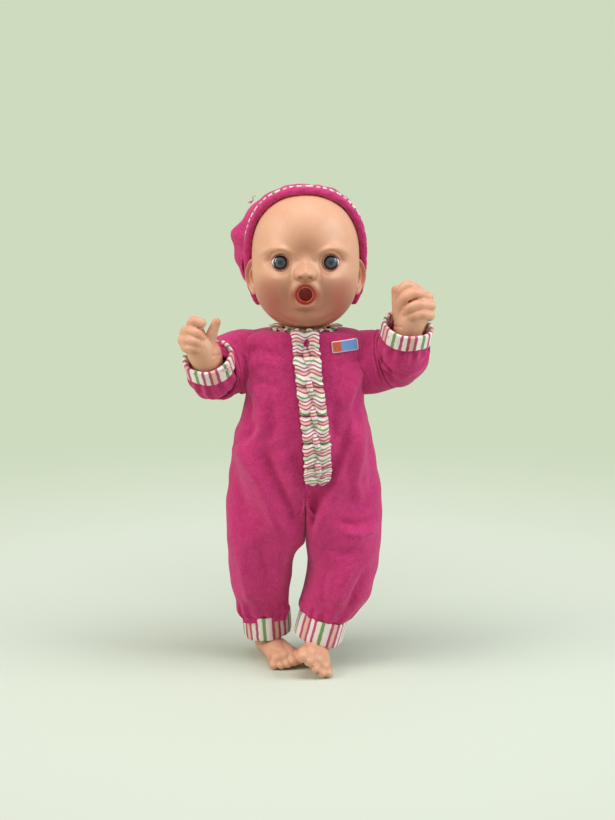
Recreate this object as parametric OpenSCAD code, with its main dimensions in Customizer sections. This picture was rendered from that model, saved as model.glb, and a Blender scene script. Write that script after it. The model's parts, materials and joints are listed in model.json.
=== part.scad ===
// Baby doll with a sound unit: hard trunk in two halves, vinyl head, arms and legs on swivel hubs,
// a sound unit with battery bay, and a knitted romper and cap.
// The doll faces -Y, its own left side is +X, and it stands on Z = 0 with the neck axis over the origin.

/* [Trunk] */
// Hip axis above the soles
leg_len = 150; // [140:1:165]
// Hip axis to the top of the trunk
trunk_h = 132; // [126:1:144]
// Width of the trunk at the belly
trunk_w = 78; // [74:1:82]
// Front to back of the trunk at the belly
trunk_d = 68; // [64:1:72]
// Wall of the trunk shells
trunk_wall = 2.4; // [1.8:0.1:3]
// Hip axis to the shoulder axis
shoulder_h = 107; // [103:1:110]
// Shoulder faces, across the trunk
shoulder_w = 72; // [68:1:73]
// Hip faces, across the pelvis
pelvis_w = 33; // [30:1:36]

/* [Head] */
// Width of the head across the cheeks
head_w = 87; // [82:1:92]
// Forehead to nape
head_d = 94; // [90:1:98]
// Underside to crown
head_h = 107; // [103:1:112]
// Wall of the vinyl head and limbs
vinyl_wall = 3; // [2.2:0.1:3.6]
// Distance between the eye centres
eye_gap = 38.4; // [36:0.2:41]
// Radius of an eyeball
eye_r = 9.5; // [8.5:0.1:10.2]
// Radius of the open eyelid
lid_r = 6.4; // [5.6:0.1:7]
// Radius of the mouth bore that takes a teat
mouth_r = 5.5; // [4.5:0.1:6]
// Depth of the mouth bore
mouth_len = 15; // [12:0.5:18]
// Travel of the mouth plunger
mouth_travel = 2; // [1:0.5:3]

/* [Hubs] */
// Radius of a limb hub's stem
stem_r = 7; // [5:0.25:8]
// Radius of a limb hub's inner flange
flange_r = 10.5; // [9:0.25:12]
// Radius of the neck post's stem
neck_stem_r = 9; // [8:0.25:10]
// Radius of the neck post's flanges
neck_flange_r = 13; // [12:0.25:14]
// Running clearance on a radius
run = 0.15; // [0.1:0.05:0.3]

/* [Sound unit] */
// Diameter of a battery cell
cell_d = 10.5; // [10:0.1:11]
// Length of a battery cell
cell_l = 44.5; // [42:0.5:46]
// Number of cells
cells = 3; // [2:1:3]
// Diameter of the loudspeaker
speaker_d = 32; // [28:1:36]
// Radius of the tummy button
button_r = 10; // [8:0.5:12]
// Travel of the tummy button
button_travel = 2; // [1:0.5:3]
// Travel of the power switch to each side
switch_travel = 2; // [1:0.5:2.5]

/* [Clothes] */
// Thickness of the knitted cloth
cloth = 1.6; // [1.2:0.1:2]
// Air between the cloth and what it lies on
ease = 0.4; // [0.3:0.1:0.6]
// Outer radius of a trouser leg about the hip axis
seat_r = 37.5; // [36:0.5:39]
// Radius of a sleeve at the armhole
armhole_r = 27.5; // [25:0.5:29]
// Length of a wrist cuff
wrist_band = 12; // [9:0.5:14]
// Length of an ankle cuff
ankle_band = 20; // [16:0.5:22]
// Width of the front ruffle
ruffle_w = 24; // [20:0.5:28]
// Folds in the front ruffle
ruffle_folds = 6; // [4:1:7]

/* [Hidden] */

$fn = 40;
far = 300;

hip_z = leg_len;
shoulder_z = hip_z + shoulder_h;
trunk_top = hip_z + trunk_h;
shoulder_x = shoulder_w / 2;
hip_x = pelvis_w / 2;
limb_gap = 1;
// Room left between a soft piece and what carries it.
rest_gap = 0.3;

vinyl = "#e8b491";
pink = "#c52c6c";
striped = "#e9c9c4";
white_plastic = "#ece8e0";
steel = "#b9bcc2";

// ---------- helpers ----------

// A value on a smooth curve through the keys, s steps to a span.
function cat(a, b, c, d, t) =
    0.5 * (2 * b + (c - a) * t + (2 * a - 5 * b + 4 * c - d) * t * t + (3 * b - a - 3 * c + d) * t * t * t);
function smooth(keys, s) = let (last = len(keys) - 1)
    [for (i = [0:last - 1]) for (j = [0:s - 1])
        cat(keys[max(i - 1, 0)], keys[i], keys[i + 1], keys[min(i + 2, last)], j / s), keys[last]];
function unit(v) = v / norm(v);
function bell(x, w) = exp(-(x * x) / (w * w));
function soft(t) = let (c = min(max(t, 0), 1)) c * c * (3 - 2 * c);
function spow(v, p) = sign(v) * pow(abs(v), p);
function reversed(list) = [for (i = [len(list) - 1:-1:0]) list[i]];

// A level, rounded ring: x runs from x0 to x1, y from y0 to y1, and q squares the corners.
function level_ring(z, x0, x1, y0, y1, q, n) = let (cx = (x0 + x1) / 2, cy = (y0 + y1) / 2)
    [for (i = [0:n - 1]) let (a = 360 * i / n)
        [cx + (x1 - x0) / 2 * spow(cos(a), 2 / q), cy + (y1 - y0) / 2 * spow(sin(a), 2 / q), z]];
// A round ring square to the direction d, whose first point lies towards the given side.
function round_ring(c, d, r, n, side = [1, 0, 0]) = let (t = unit(d), v = unit(cross(t, side)), u = cross(v, t))
    [for (i = [0:n - 1]) let (a = 360 * i / n) c + r * cos(a) * u + r * sin(a) * v];

// A closed solid through rings of equal length, each of which turns counterclockwise about the run.
module loft(rings) {
    n = len(rings[0]);
    m = len(rings);
    sides = [for (i = [0:m - 2]) for (j = [0:n - 1]) let (a = i * n + j, b = i * n + (j + 1) % n)
        each [[a, b + n, b], [a, a + n, b + n]]];
    polyhedron([for (r = rings) each r],
        concat(sides, [[for (j = [0:n - 1]) j], [for (j = [n - 1:-1:0]) (m - 1) * n + j]]));
}
// A tube between two sets of rings, open at both ends.
module walled_loft(outer, inner) {
    n = len(outer[0]);
    m = len(outer);
    function at(wall, ring, j) = (wall * m + ring) * n + j % n;
    polyhedron([for (r = outer) each r, for (r = inner) each r], [for (j = [0:n - 1]) each concat(
        [for (i = [0:m - 2]) each [[at(0, i, j), at(0, i + 1, j + 1), at(0, i, j + 1)],
            [at(0, i, j), at(0, i + 1, j), at(0, i + 1, j + 1)],
            [at(1, i, j), at(1, i, j + 1), at(1, i + 1, j + 1)], [at(1, i, j), at(1, i + 1, j + 1), at(1, i + 1, j)]]],
        [[at(0, 0, j), at(0, 0, j + 1), at(1, 0, j + 1)], [at(0, 0, j), at(1, 0, j + 1), at(1, 0, j)],
            [at(0, m - 1, j), at(1, m - 1, j + 1), at(0, m - 1, j + 1)], [at(0, m - 1, j), at(1, m - 1, j), at(1, m - 1, j + 1)]])]);
}
// A capsule between two points with a radius at each.
module link(p, q, rp, rq, n = 8) {
    hull() {
        translate(p) sphere(rp, $fn = n);
        translate(q) sphere(rq, $fn = n);
    }
}
module along_x(x0, x1, r, y = 0, z = 0) {
    translate([x0, y, z]) rotate([0, 90, 0]) cylinder(r = r, h = x1 - x0);
}
module along_y(y0, y1, r, x = 0, z = 0) {
    translate([x, y0, z]) rotate([-90, 0, 0]) cylinder(r = r, h = y1 - y0);
}
module point_along(p, d) {
    t = unit(d);
    translate(p) rotate([0, acos(t[2]), atan2(t[1], t[0])]) children();
}
module both_sides() {
    children();
    mirror([1, 0, 0]) children();
}

// ---------- trunk ----------

// [height above the hip axis, share of the half width, share of the half depth]
trunk_keys = [[-28, 0.34, 0.42], [-24, 0.52, 0.62], [-12, 0.74, 0.8], [8, 0.88, 0.9], [35, 0.98, 0.98],
    [60, 1, 1], [85, 0.96, 0.93], [shoulder_h, 0.95, 0.82], [trunk_h - 9, 0.87, 0.7],
    [trunk_h - 2, 0.77, 0.56], [trunk_h, 0.68, 0.48]];
hip_cut_r = seat_r + ease + 0.6;
hip_cut_top = 33;
back_y = trunk_d / 2 - 6;

module trunk_form(inset = 0, n = 18) {
    rings = [for (k = trunk_keys) let (w = trunk_w / 2 * k[1] - inset, d = trunk_d / 2 * k[2] - inset,
        z = hip_z + min(max(k[0], inset - 28), trunk_h - inset)) level_ring(z, -w, w, -d, d, 2.4, n)];
    difference() {
        loft(rings);
        both_sides() {
            translate([shoulder_x - inset, -far / 2, shoulder_z - 20]) cube([far, far, 40]);
            translate([hip_x - inset, 0, 0]) {
                along_x(0, far, hip_cut_r + inset, 0, hip_z);
                translate([0, -far / 2, 0]) cube([far, far, hip_z + hip_cut_top + inset]);
            }
        }
        translate([-far / 2, back_y - inset, 0]) cube([far, far, shoulder_z + 4]);
    }
}

bearing_len = 6;
flange_t = 2.5;
bay_w = cells * (cell_d + 0.6) + 5;
bay_h = cell_l + 8;
bay_z = hip_z + 68;
door_t = 2.2;
door_lip = 3;
bay_frame_t = 5;
button_z = hip_z + 52;
speaker_z = hip_z + 84;
speaker_y = -trunk_d / 2 + 9;
switch_z = hip_z + 22;
boss_r = 3.6;
screw_r = 1.5;
boss_at = [[26, hip_z + 40], [26, hip_z + 88]];
door_screw_z = bay_z + bay_h / 2 + 2;

// Bearing rings and posts that both halves share, before they are split.
module trunk_inside() {
    both_sides() {
        along_x(hip_x - bearing_len, hip_x, stem_r + 4, 0, hip_z);
        along_x(shoulder_x - bearing_len, shoulder_x, stem_r + 4, 0, shoulder_z);
        for (b = boss_at) along_y(-trunk_d / 2 + 1, back_y - 1, boss_r, b[0], b[1]);
    }
    translate([0, 0, trunk_top - bearing_len]) cylinder(r = neck_stem_r + 4, h = bearing_len);
    along_y(-trunk_d / 2 + 2, speaker_y + 3.6, speaker_d / 2 + 2, 0, speaker_z);
    along_y(-trunk_d / 2 + 1, -trunk_d / 2 + 7, button_r + 2, 0, button_z);
    translate([-bay_w / 2 - door_lip - 2, back_y - bay_frame_t, bay_z - bay_h / 2 - door_lip - 2])
        cube([bay_w + 2 * door_lip + 4, bay_frame_t, bay_h + 2 * door_lip + 10]);
}
module trunk_bores() {
    both_sides() {
        along_x(0, far, stem_r + run, 0, hip_z);
        along_x(0, far, stem_r + run, 0, shoulder_z);
        for (b = boss_at) along_y(-trunk_d / 2 + 6, far, screw_r, b[0], b[1]);
        for (b = boss_at) along_y(back_y - 3, far, 2.8, b[0], b[1]);
    }
    cylinder(r = neck_stem_r + run, h = far);
    along_y(-far, -trunk_d / 2 + 9, button_r + run, 0, button_z);
    along_y(speaker_y - 0.2, speaker_y + 8, speaker_d / 2 + run, 0, speaker_z);
    // Sound holes in two rings round a middle one.
    along_y(-far, 0, 1.3, 0, speaker_z);
    for (ring = [1, 2], i = [0:ring * 6 - 1])
        along_y(-far, 0, 1.3, ring * 5 * cos(60 * i / ring), speaker_z + ring * 5 * sin(60 * i / ring));
    // Battery bay: the way in, the recess for the door, and the door screw's pilot hole.
    translate([-bay_w / 2, back_y - 10, bay_z - bay_h / 2]) cube([bay_w, far, bay_h]);
    translate([-bay_w / 2 - door_lip, back_y - door_t, bay_z - bay_h / 2 - door_lip])
        cube([bay_w + 2 * door_lip, far, bay_h + 2 * door_lip + 4]);
    along_y(back_y - bay_frame_t - 1, far, 1.1, 0, door_screw_z);
    translate([-switch_travel - 3.2, 0, switch_z - 2.7]) cube([2 * switch_travel + 6.4, far, 5.4]);
}
module trunk_whole() {
    difference() {
        union() {
            difference() {
                trunk_form();
                trunk_form(trunk_wall);
            }
            intersection() {
                trunk_form(trunk_wall / 2);
                trunk_inside();
            }
        }
        trunk_bores();
    }
}
module torso_front_shell() {
    color(vinyl) intersection() {
        trunk_whole();
        translate([-far / 2, -far, 0]) cube([far, far, far * 2]);
    }
}
module torso_back_shell() {
    color(vinyl) intersection() {
        trunk_whole();
        translate([-far / 2, 0, 0]) cube([far, far, far * 2]);
    }
}
module torso_screws() {
    color(steel) both_sides() for (b = boss_at) difference() {
        union() {
            along_y(-8, back_y - 3, screw_r - 0.05, b[0], b[1]);
            along_y(back_y - 3, back_y - 0.8, 2.6, b[0], b[1]);
        }
        for (turn = [0, 90]) translate([b[0], back_y, b[1]]) rotate([0, turn, 0]) cube([3.4, 3, 0.7], center = true);
    }
}

// ---------- hubs ----------

// A limb hub on the +X side: a flange behind the bearing, a stem through it and a key in the limb.
root_len = 9;
key_gap = 0.12;
module hub(face_x, z) {
    color(white_plastic) {
        along_x(face_x - bearing_len - 0.3 - flange_t, face_x - bearing_len - 0.3, flange_r, 0, z);
        along_x(face_x - bearing_len - 0.3, face_x + limb_gap + root_len, stem_r, 0, z);
    }
}
module left_hip_hub() { hub(hip_x, hip_z); }
module right_hip_hub() { mirror([1, 0, 0]) hub(hip_x, hip_z); }
module left_shoulder_hub() { hub(shoulder_x, shoulder_z); }
module right_shoulder_hub() { mirror([1, 0, 0]) hub(shoulder_x, shoulder_z); }

neck_floor_z = trunk_top + 1.6;
neck_floor_t = 3;
module neck_post() {
    color(white_plastic) rotate_extrude() polygon([[0, trunk_top - bearing_len - 3.3],
        [neck_flange_r, trunk_top - bearing_len - 3.3], [neck_flange_r, trunk_top - bearing_len - 0.3],
        [neck_stem_r, trunk_top - bearing_len - 0.3], [neck_stem_r, neck_floor_z + neck_floor_t + 0.3],
        [neck_flange_r, neck_floor_z + neck_floor_t + 0.3], [neck_flange_r, neck_floor_z + neck_floor_t + 3.3],
        [0, neck_floor_z + neck_floor_t + 5]]);
}

// ---------- sound unit ----------

tray_wall = 1.3;
tray_w = bay_w + 2 * tray_wall;
tray_h = bay_h + 2 * tray_wall;
tray_d = cell_d + 2.3;
tray_back = back_y - bay_frame_t;
module battery_tray() {
    color("#3a3a3e") difference() {
        translate([-tray_w / 2, tray_back - tray_d, bay_z - tray_h / 2]) cube([tray_w, tray_d, tray_h]);
        translate([-bay_w / 2, tray_back - tray_d + tray_wall, bay_z - bay_h / 2]) cube([bay_w, far, bay_h]);
    }
}
cell_y = tray_back - cell_d / 2 - 0.4;
function cell_x(i) = (i - (cells - 1) / 2) * (cell_d + 0.6);
module battery_cells() {
    for (i = [0:cells - 1]) translate([cell_x(i), cell_y, bay_z - cell_l / 2 + 0.7]) {
        color("#2b6fae") cylinder(r = cell_d / 2, h = cell_l - 1.2);
        color(steel) translate([0, 0, cell_l - 1.2]) cylinder(r = 2.6, h = 1.2);
    }
}
contact_t = 0.4;
module battery_contacts() {
    cell_foot = bay_z - cell_l / 2 + 0.7;
    color(steel) for (i = [0:cells - 1]) translate([cell_x(i), 0, 0]) {
        translate([-3.6, cell_y - 3.6, bay_z + bay_h / 2 - contact_t]) cube([7.2, 7.2, contact_t]);
        translate([0, cell_y, cell_foot + cell_l]) cylinder(r1 = 1.8, r2 = 3.2, h = bay_z + bay_h / 2 - contact_t - cell_foot - cell_l);
        // A leaf spring, bent from strip, that pushes on the cell's foot.
        translate([-2.6, cell_y - 3.6, bay_z - bay_h / 2]) rotate([90, 0, 90]) linear_extrude(5.2)
            polygon([[0, 0], [7.2, 0], [7.2, contact_t], [1, contact_t], [6.4, cell_foot - bay_z + bay_h / 2],
                [5.4, cell_foot - bay_z + bay_h / 2], [0, contact_t]]);
    }
}
module battery_door() {
    w = bay_w + 2 * door_lip - 0.4;
    h = bay_h + 2 * door_lip + 3.6;
    color(vinyl) difference() {
        union() {
            translate([-w / 2, back_y - door_t + 0.1, bay_z - bay_h / 2 - door_lip + 0.2]) cube([w, door_t - 0.1, h]);
            for (x = [-8, 8]) translate([x - 1.5, back_y - door_t - 1.6, bay_z - bay_h / 2 + 0.4]) cube([3, 1.8, 5]);
        }
        along_y(back_y - 5, far, 1.5, 0, door_screw_z);
        along_y(back_y - 1.2, far, 2.7, 0, door_screw_z);
        for (i = [0:4]) translate([-7, back_y - 0.5, bay_z - 14 - 3 * i]) cube([14, 1, 1.2]);
    }
}
module door_screw() {
    color(steel) difference() {
        union() {
            along_y(back_y - bay_frame_t, back_y - 1.2, 1.05, 0, door_screw_z);
            along_y(back_y - 1.2, back_y - 0.1, 2.5, 0, door_screw_z);
        }
        for (turn = [0, 90]) translate([0, back_y, door_screw_z]) rotate([0, turn, 0]) cube([3.2, 1.4, 0.6], center = true);
    }
}
board_t = 1.6;
board_y = tray_back - tray_d - board_t;
board_w = 40;
board_h = 50;
board_z = bay_z - 2;
module circuit_board() {
    color("#1f7a4a") difference() {
        translate([-board_w / 2, board_y, board_z - board_h / 2]) cube([board_w, board_t, board_h]);
        both_sides() for (s = [-1, 1])
            along_y(board_y - 1, board_y + board_t + 1, 1.2, board_w / 2 - 3, board_z + s * (board_h / 2 - 3));
    }
}
module sound_chip() {
    color("#17171a") {
        translate([-13, board_y - 1.2, board_z + 9]) cube([9, 1.2, 9]);
        for (i = [0:3]) translate([6 + 3.4 * i, board_y - 0.8, board_z + 12]) cube([1.8, 0.8, 3.2]);
        along_y(board_y - 6, board_y, 2.6, 13, board_z + 4);
    }
}
module loudspeaker() {
    r = speaker_d / 2;
    color("#2c2c30") translate([0, speaker_y, speaker_z]) rotate([-90, 0, 0]) rotate_extrude()
        polygon([[0, 3], [3.5, 2.2], [r - 4, 1], [r - 3, 0.4], [r - 2, 0], [r, 0], [r, 2], [r - 3, 2],
            [r * 0.55, 6.5], [r * 0.55, 11], [0, 11]]);
}
module speaker_clip() {
    color(white_plastic) difference() {
        along_y(speaker_y + 2, speaker_y + 3.6, speaker_d / 2, 0, speaker_z);
        along_y(speaker_y + 1, speaker_y + 5, speaker_d / 2 - 2.6, 0, speaker_z);
    }
}
button_face = -trunk_d / 2 - 0.6;
button_flange_y = -trunk_d / 2 + 9.3;
switch_face = board_y - 6;
module tummy_button() {
    color("#d9577f") translate([0, 0, button_z]) rotate([-90, 0, 0]) rotate_extrude()
        polygon([[0, button_face], [button_r - 1.5, button_face + 0.4], [button_r, button_face + 2],
            [button_r, button_flange_y], [button_r + 1.6, button_flange_y], [button_r + 1.6, button_flange_y + 1.4],
            [2.5, button_flange_y + 1.4], [2.5, switch_face - 0.3], [0, switch_face - 0.3]]);
}
module tummy_switch() {
    color("#2c2c30") {
        translate([-3, board_y - 3.4, button_z - 3]) cube([6, 3.4, 6]);
        along_y(board_y - 3.9, board_y - 3.4, 1.7, 0, button_z);
    }
}
module button_spring() {
    turns = 4;
    steps = 10;
    r = 5;
    wire = 0.45;
    y0 = button_flange_y + 1.4 + wire + 0.1;
    y1 = board_y - wire - 0.1;
    color(steel) loft([for (i = [0:turns * steps]) let (a = 360 * i / steps, y = y0 + (y1 - y0) * i / (turns * steps))
        round_ring([r * cos(a), y, button_z + r * sin(a)], [-sin(a), (y1 - y0) / (turns * 6.28 * r), cos(a)], wire, 4, [0, 1, 0])]);
}
module power_switch_body() {
    color("#2c2c30") difference() {
        translate([-8, back_y - trunk_wall - 6, switch_z - 4]) cube([16, 6, 8]);
        translate([-switch_travel - 3.2, back_y - trunk_wall - 3, switch_z - 2.7]) cube([2 * switch_travel + 6.4, 9, 5.4]);
    }
}
module power_switch_knob() {
    color("#d9577f") {
        translate([-3, back_y - trunk_wall - 2.8, switch_z - 2.4]) cube([6, trunk_wall + 3.6, 4.8]);
        for (x = [-1.5, 0, 1.5]) translate([x - 0.3, back_y + 0.8, switch_z - 2.4]) cube([0.6, 0.4, 4.8]);
    }
}

// ---------- head ----------

head_z = trunk_top + 6.5 + head_h / 2;
head_front = head_d / 2;
eye_x = eye_gap / 2;
eye_up = -1;
mouth_up = -25.5;
nose_up = -8;
// The lips are a rounded ring round the front of the mouth.
lip_r = 1.8;
lip_out = mouth_r + 2 * lip_r;
lip_len = 5.2;

// How far the face stands forward of the plain head, at x and at z above the head's middle.
function face_relief(x, z) = let (ax = abs(x))
    8.5 * bell(x, 6.5) * bell(z - nose_up, z > nose_up ? 8.5 : 5.5)
    + 3 * bell(ax - 5.5, 3) * bell(z - nose_up + 1.5, 4)
    + 3.5 * bell(ax - 22, 12) * bell(z - mouth_up - 3, 12)
    + 2.4 * bell(ax - eye_x - 1, 11) * bell(z - eye_up - 11, 4.5)
    - 3.6 * bell(ax - eye_x, 9) * bell(z - eye_up - 1, 7)
    + 3.4 * bell(norm([x, (z - mouth_up) * 0.88]) - lip_out + 0.2, 2.6)
    + 4.5 * bell(x, 12) * bell(z - mouth_up + 16, 7)
    - 1.6 * bell(x, 8) * bell(z - mouth_up + 11, 2.5);
head_fullness = 2.45;
// The jowls are fuller than the crown.
jaw_fullness = 2.8;
// Share of the full breadth that the plain head has at height z, where c is its half height.
function head_slice(z, c) = let (n = z < 0 ? jaw_fullness : head_fullness) pow(max(1 - pow(abs(z) / c, n), 0), 1 / n);
// A point of the head: lon turns from the face, lat climbs from the underside; inset shrinks the plain form.
function head_point(lon, lat, inset = 0, relief = 1) = let (
    a = head_w / 2 - inset, b = head_front - inset, c = head_h / 2 - inset, z = c * sin(lat), s = head_slice(z, c),
    x = a * s * sin(lon), y = -b * s * cos(lon), front = soft(cos(lon) * 1.6 - 0.1))
    [x, y - relief * front * soft(s * 4 - 0.6) * face_relief(x, z), head_z + z];
// Longitudes and latitudes crowd towards the nose and mouth, where the relief is.
function face_lon(i, n) = let (u = 360 * i / n) u - 36 * sin(u);
function face_lat(j, m) = let (v = 2 * j / m - 1) 88 * v - 17 * sin(180 * v) - 14 * cos(90 * v);
module head_form(inset = 0, relief = 1, n = 32, m = 24) {
    loft([for (j = [0:m]) [for (i = [0:n - 1]) head_point(face_lon(i, n), face_lat(j, m), inset, relief)]]);
}
function face_y(x, z) = let (s = head_slice(z, head_h / 2))
    -head_front * sqrt(s * s - pow(x / (head_w / 2), 2)) - face_relief(x, z);
eye_y = face_y(eye_x, eye_up) + eye_r + 0.6;
mouth_y = face_y(0, mouth_up - lip_out - 1.2) + 2.6;
cup_wall = 1.4;
cup_back = mouth_y + mouth_len + 5;

module ear() {
    h = 15.5;
    translate([head_w / 2 - 2.4, -2.5, head_z - 15]) rotate([6, 0, 0]) rotate([0, 10, -26]) difference() {
        resize([9, 19, 2 * h]) sphere(r = 10, $fn = 12);
        translate([4.2, -3, 1]) resize([5, 10, 1.25 * h]) sphere(r = 10, $fn = 8);
    }
}
module head_shell() {
    neck_r = neck_flange_r + vinyl_wall + 1;
    color(vinyl) difference() {
        union() {
            head_form();
            both_sides() ear();
            translate([0, 0, neck_floor_z]) cylinder(r = neck_r, h = 16);
        }
        difference() {
            head_form(vinyl_wall + 1, 0, 16, 10);
            both_sides() translate([eye_x, eye_y, head_z + eye_up]) sphere(eye_r + 2.2, $fn = 32);
            along_y(mouth_y - 4, mouth_y + mouth_len - 2, lip_out + 1.6, 0, head_z + mouth_up);
            translate([0, 0, neck_floor_z]) cylinder(r = neck_r, h = 14);
        }
        both_sides() translate([eye_x, eye_y, head_z + eye_up]) {
            sphere(eye_r + 0.1, $fn = 32);
            along_y(-far, 0, lid_r);
            along_y(0, eye_r + 6, eye_r - 1.5);
        }
        along_y(-far, mouth_y + 0.1, lip_out + 0.1, 0, head_z + mouth_up);
        along_y(mouth_y - 0.1, cup_back, mouth_r + cup_wall + 0.1, 0, head_z + mouth_up);
        translate([0, 0, neck_floor_z - 1]) cylinder(r = neck_stem_r + run, h = 10);
        translate([0, 0, neck_floor_z + neck_floor_t]) cylinder(r = neck_flange_r + 0.6, h = 20);
    }
}
iris_r = 5;
module eye(side) {
    translate([side * eye_x, eye_y, head_z + eye_up]) {
        color("white") sphere(eye_r, $fn = 48);
        color("#3d4f66") intersection() {
            sphere(eye_r + 0.15, $fn = 48);
            along_y(-far, -eye_r / 2, iris_r);
        }
        color("black") intersection() {
            sphere(eye_r + 0.3, $fn = 48);
            along_y(-far, -eye_r / 2, iris_r * 0.42);
        }
    }
}
module left_eye() { eye(1); }
module right_eye() { eye(-1); }
module mouth_cup() {
    lip_y = mouth_y - lip_len;
    color("#b5373c") difference() {
        union() {
            along_y(mouth_y - 1, cup_back, mouth_r + cup_wall, 0, head_z + mouth_up);
            along_y(lip_y, mouth_y, lip_out, 0, head_z + mouth_up);
            translate([0, lip_y, head_z + mouth_up]) rotate([90, 0, 0])
                rotate_extrude() translate([lip_out - lip_r - 0.15, 0]) circle(lip_r, $fn = 24);
        }
        along_y(lip_y - lip_r - 1, mouth_y + mouth_len, mouth_r, 0, head_z + mouth_up);
        along_y(mouth_y - 1, far, 2.5, 0, head_z + mouth_up);
        along_y(mouth_y + mouth_len - 0.01, mouth_y + mouth_len + mouth_travel + 1.4, mouth_r + 0.5, 0, head_z + mouth_up);
    }
}
module mouth_plunger() {
    color("#c8494c") {
        along_y(mouth_y + mouth_len + 0.2, mouth_y + mouth_len + 1.2, mouth_r + 0.3, 0, head_z + mouth_up);
        along_y(mouth_y + mouth_len + 1.2, cup_back + 1, 2.35, 0, head_z + mouth_up);
    }
}
module mouth_switch() {
    y = cup_back + 1.2 + mouth_travel;
    color("#2c2c30") difference() {
        translate([-7, cup_back, head_z + mouth_up - 7]) cube([14, 6 + mouth_travel, 14]);
        translate([-5, cup_back - 1, head_z + mouth_up - 5]) cube([10, y - cup_back + 1, 10]);
    }
}

// ---------- arms ----------

// Centre line of the left arm from its shoulder face: [out, forward is negative, up, radius].
left_arm_keys = [[0, 0, 0, 14], [8, 0, 0, 15.5], [22, -3, 1, 15], [34, -8, 2, 14.5], [42, -14, 7, 14],
    [44, -21, 17, 13], [44, -27, 28, 11], [44.5, -29.5, 34, 11]];
right_arm_keys = [[0, 0, 0, 14], [8, 0, 0, 15.5], [22, -5, -2, 15], [34, -12, -6, 14.5], [40, -19, -5, 14],
    [41, -25, 0, 13], [40.5, -30.5, 7, 11], [41.5, -33, 12, 11]];
left_forearm = [0.12, -0.39, 0.91];
right_forearm = [0.22, -0.46, 0.86];
// Square to the plane in which both arms bend.
elbow_side = [0, 0.9, 0.44];
function place(k) = [shoulder_x + limb_gap + k[0], k[1], shoulder_z + k[2]];
function path_rings(keys, extra, n) = let (s = smooth(keys, 2), last = len(s) - 1)
    [for (i = [0:last]) let (d = place(s[min(i + 1, last)]) - place(s[max(i - 1, 0)]))
        round_ring(place(s[i]), i == 0 ? [1, 0, 0] : d, s[i][3] + extra, n, elbow_side)];
// Joints of the palm and of each finger from the wrist: [x outwards, y, z, radius]. The thumb comes last.
left_palm = [[0, 0, -2, 11.5], [2, -2, 6, 12], [5, -2, 13, 12], [6, 0, 20, 11], [4, 1, 26, 7.5]];
left_fingers = [[[8, 4, 29, 4.6], [0, -3, 34.5, 4.5], [-7, -5, 30, 4.2], [-8, -2, 23, 3.7]],
    [[15, 1, 25, 4.3], [4.5, -8, 29, 4.2], [-4, -10, 25, 4], [-6, -5, 18, 3.5]],
    [[17, -3, 18.5, 4.1], [7.5, -12, 20.5, 4], [0, -13, 17.5, 3.8], [-3, -8, 13, 3.3]],
    [[16.5, -5, 11, 3.7], [9.5, -12.5, 13, 3.6], [2.5, -13, 11, 3.4], [-0.5, -9, 8.5, 3]],
    [[-5, -2, 6, 6.5], [-8, -3, 15, 5], [-9.5, -4, 24, 4.1], [-10.5, -5, 31.5, 3.4]]];
right_palm = [[0, 0, -3, 11.5], [2.5, -2, 2, 12], [5, -4, 8, 12], [8, -4, 14, 11], [8.5, -3, 19, 8]];
right_fingers = [[[10.5, -3, 19, 4.5], [11.5, -6, 26.5, 4.4], [8.5, -10, 30, 4.1], [2.5, -11.5, 28.5, 3.6]],
    [[16.5, -2, 20, 4.3], [12, -11, 22.5, 4.2], [5.5, -13.5, 20, 4], [2.5, -9.5, 15.5, 3.5]],
    [[18, -4, 14, 4.1], [13.5, -13.5, 15.5, 4], [7, -15, 13.5, 3.8], [4, -11, 11, 3.3]],
    [[16, -6, 9, 3.7], [14, -14, 9, 3.6], [8.5, -15.5, 8.5, 3.4], [5.5, -12, 7.5, 3]],
    [[-1, -3, 5, 6.5], [-3, -5, 14, 5.2], [-5.5, -7, 22, 4.2], [-8.5, -8, 29, 3.5]]];
module chain(w, joints, n = 8) {
    for (i = [0:len(joints) - 2]) let (p = joints[i], q = joints[i + 1])
        link(w + [p[0], p[1], p[2]], w + [q[0], q[1], q[2]], p[3], q[3], n);
}
module hand(w, palm, fingers) {
    chain(w, palm, 12);
    for (f = fingers) chain(w, f);
}
module arm(keys, palm, fingers) {
    color(vinyl) difference() {
        union() {
            loft(path_rings(keys, 0, 14));
            hand(place(keys[len(keys) - 1]), palm, fingers);
        }
        // The hollow opens into the hub's pocket.
        loft(path_rings([for (i = [1:len(keys) - 2]) keys[i] + [root_len - keys[1][0] - 0.3, 0, 0, 0]], -vinyl_wall - 2, 8));
        along_x(0, shoulder_x + limb_gap + root_len + 0.1, stem_r + key_gap, 0, shoulder_z, $fn = 24);
    }
}
module left_arm() { arm(left_arm_keys, left_palm, left_fingers); }
module right_arm() { mirror([1, 0, 0]) arm(right_arm_keys, right_palm, right_fingers); }

// ---------- legs ----------

// Centre line of a leg: [x, y, height above the sole, radius across].
left_leg_keys = [[38, 0, 1.06, 19], [38, 0, 0.98, 20], [38, -1, 0.78, 18.5], [33, -4, 0.55, 16.5], [21, -4, 0.34, 13],
    [13.5, -3, 0.2, 11.5], [10, -1, 0.1, 11.5]];
right_leg_keys = [[38, 0, 1.06, 19], [38, 0, 0.98, 20], [39, 2, 0.78, 18.5], [39.5, 7, 0.55, 16.5], [36.5, 12, 0.34, 13],
    [34, 15, 0.2, 11.5], [33.5, 18.5, 0.1, 11.5]];
function leg_rings(keys, extra, n) = [for (k = keys)
    level_ring(k[2] * hip_z, max(k[0] - k[3] - extra, hip_x + limb_gap), k[0] + k[3] + extra,
        k[1] - k[3] * 1.04 - extra, k[1] + k[3] * 1.04 + extra, 2, n)];
foot_len = 50;
foot_w = 25;
toes = 5;
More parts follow.
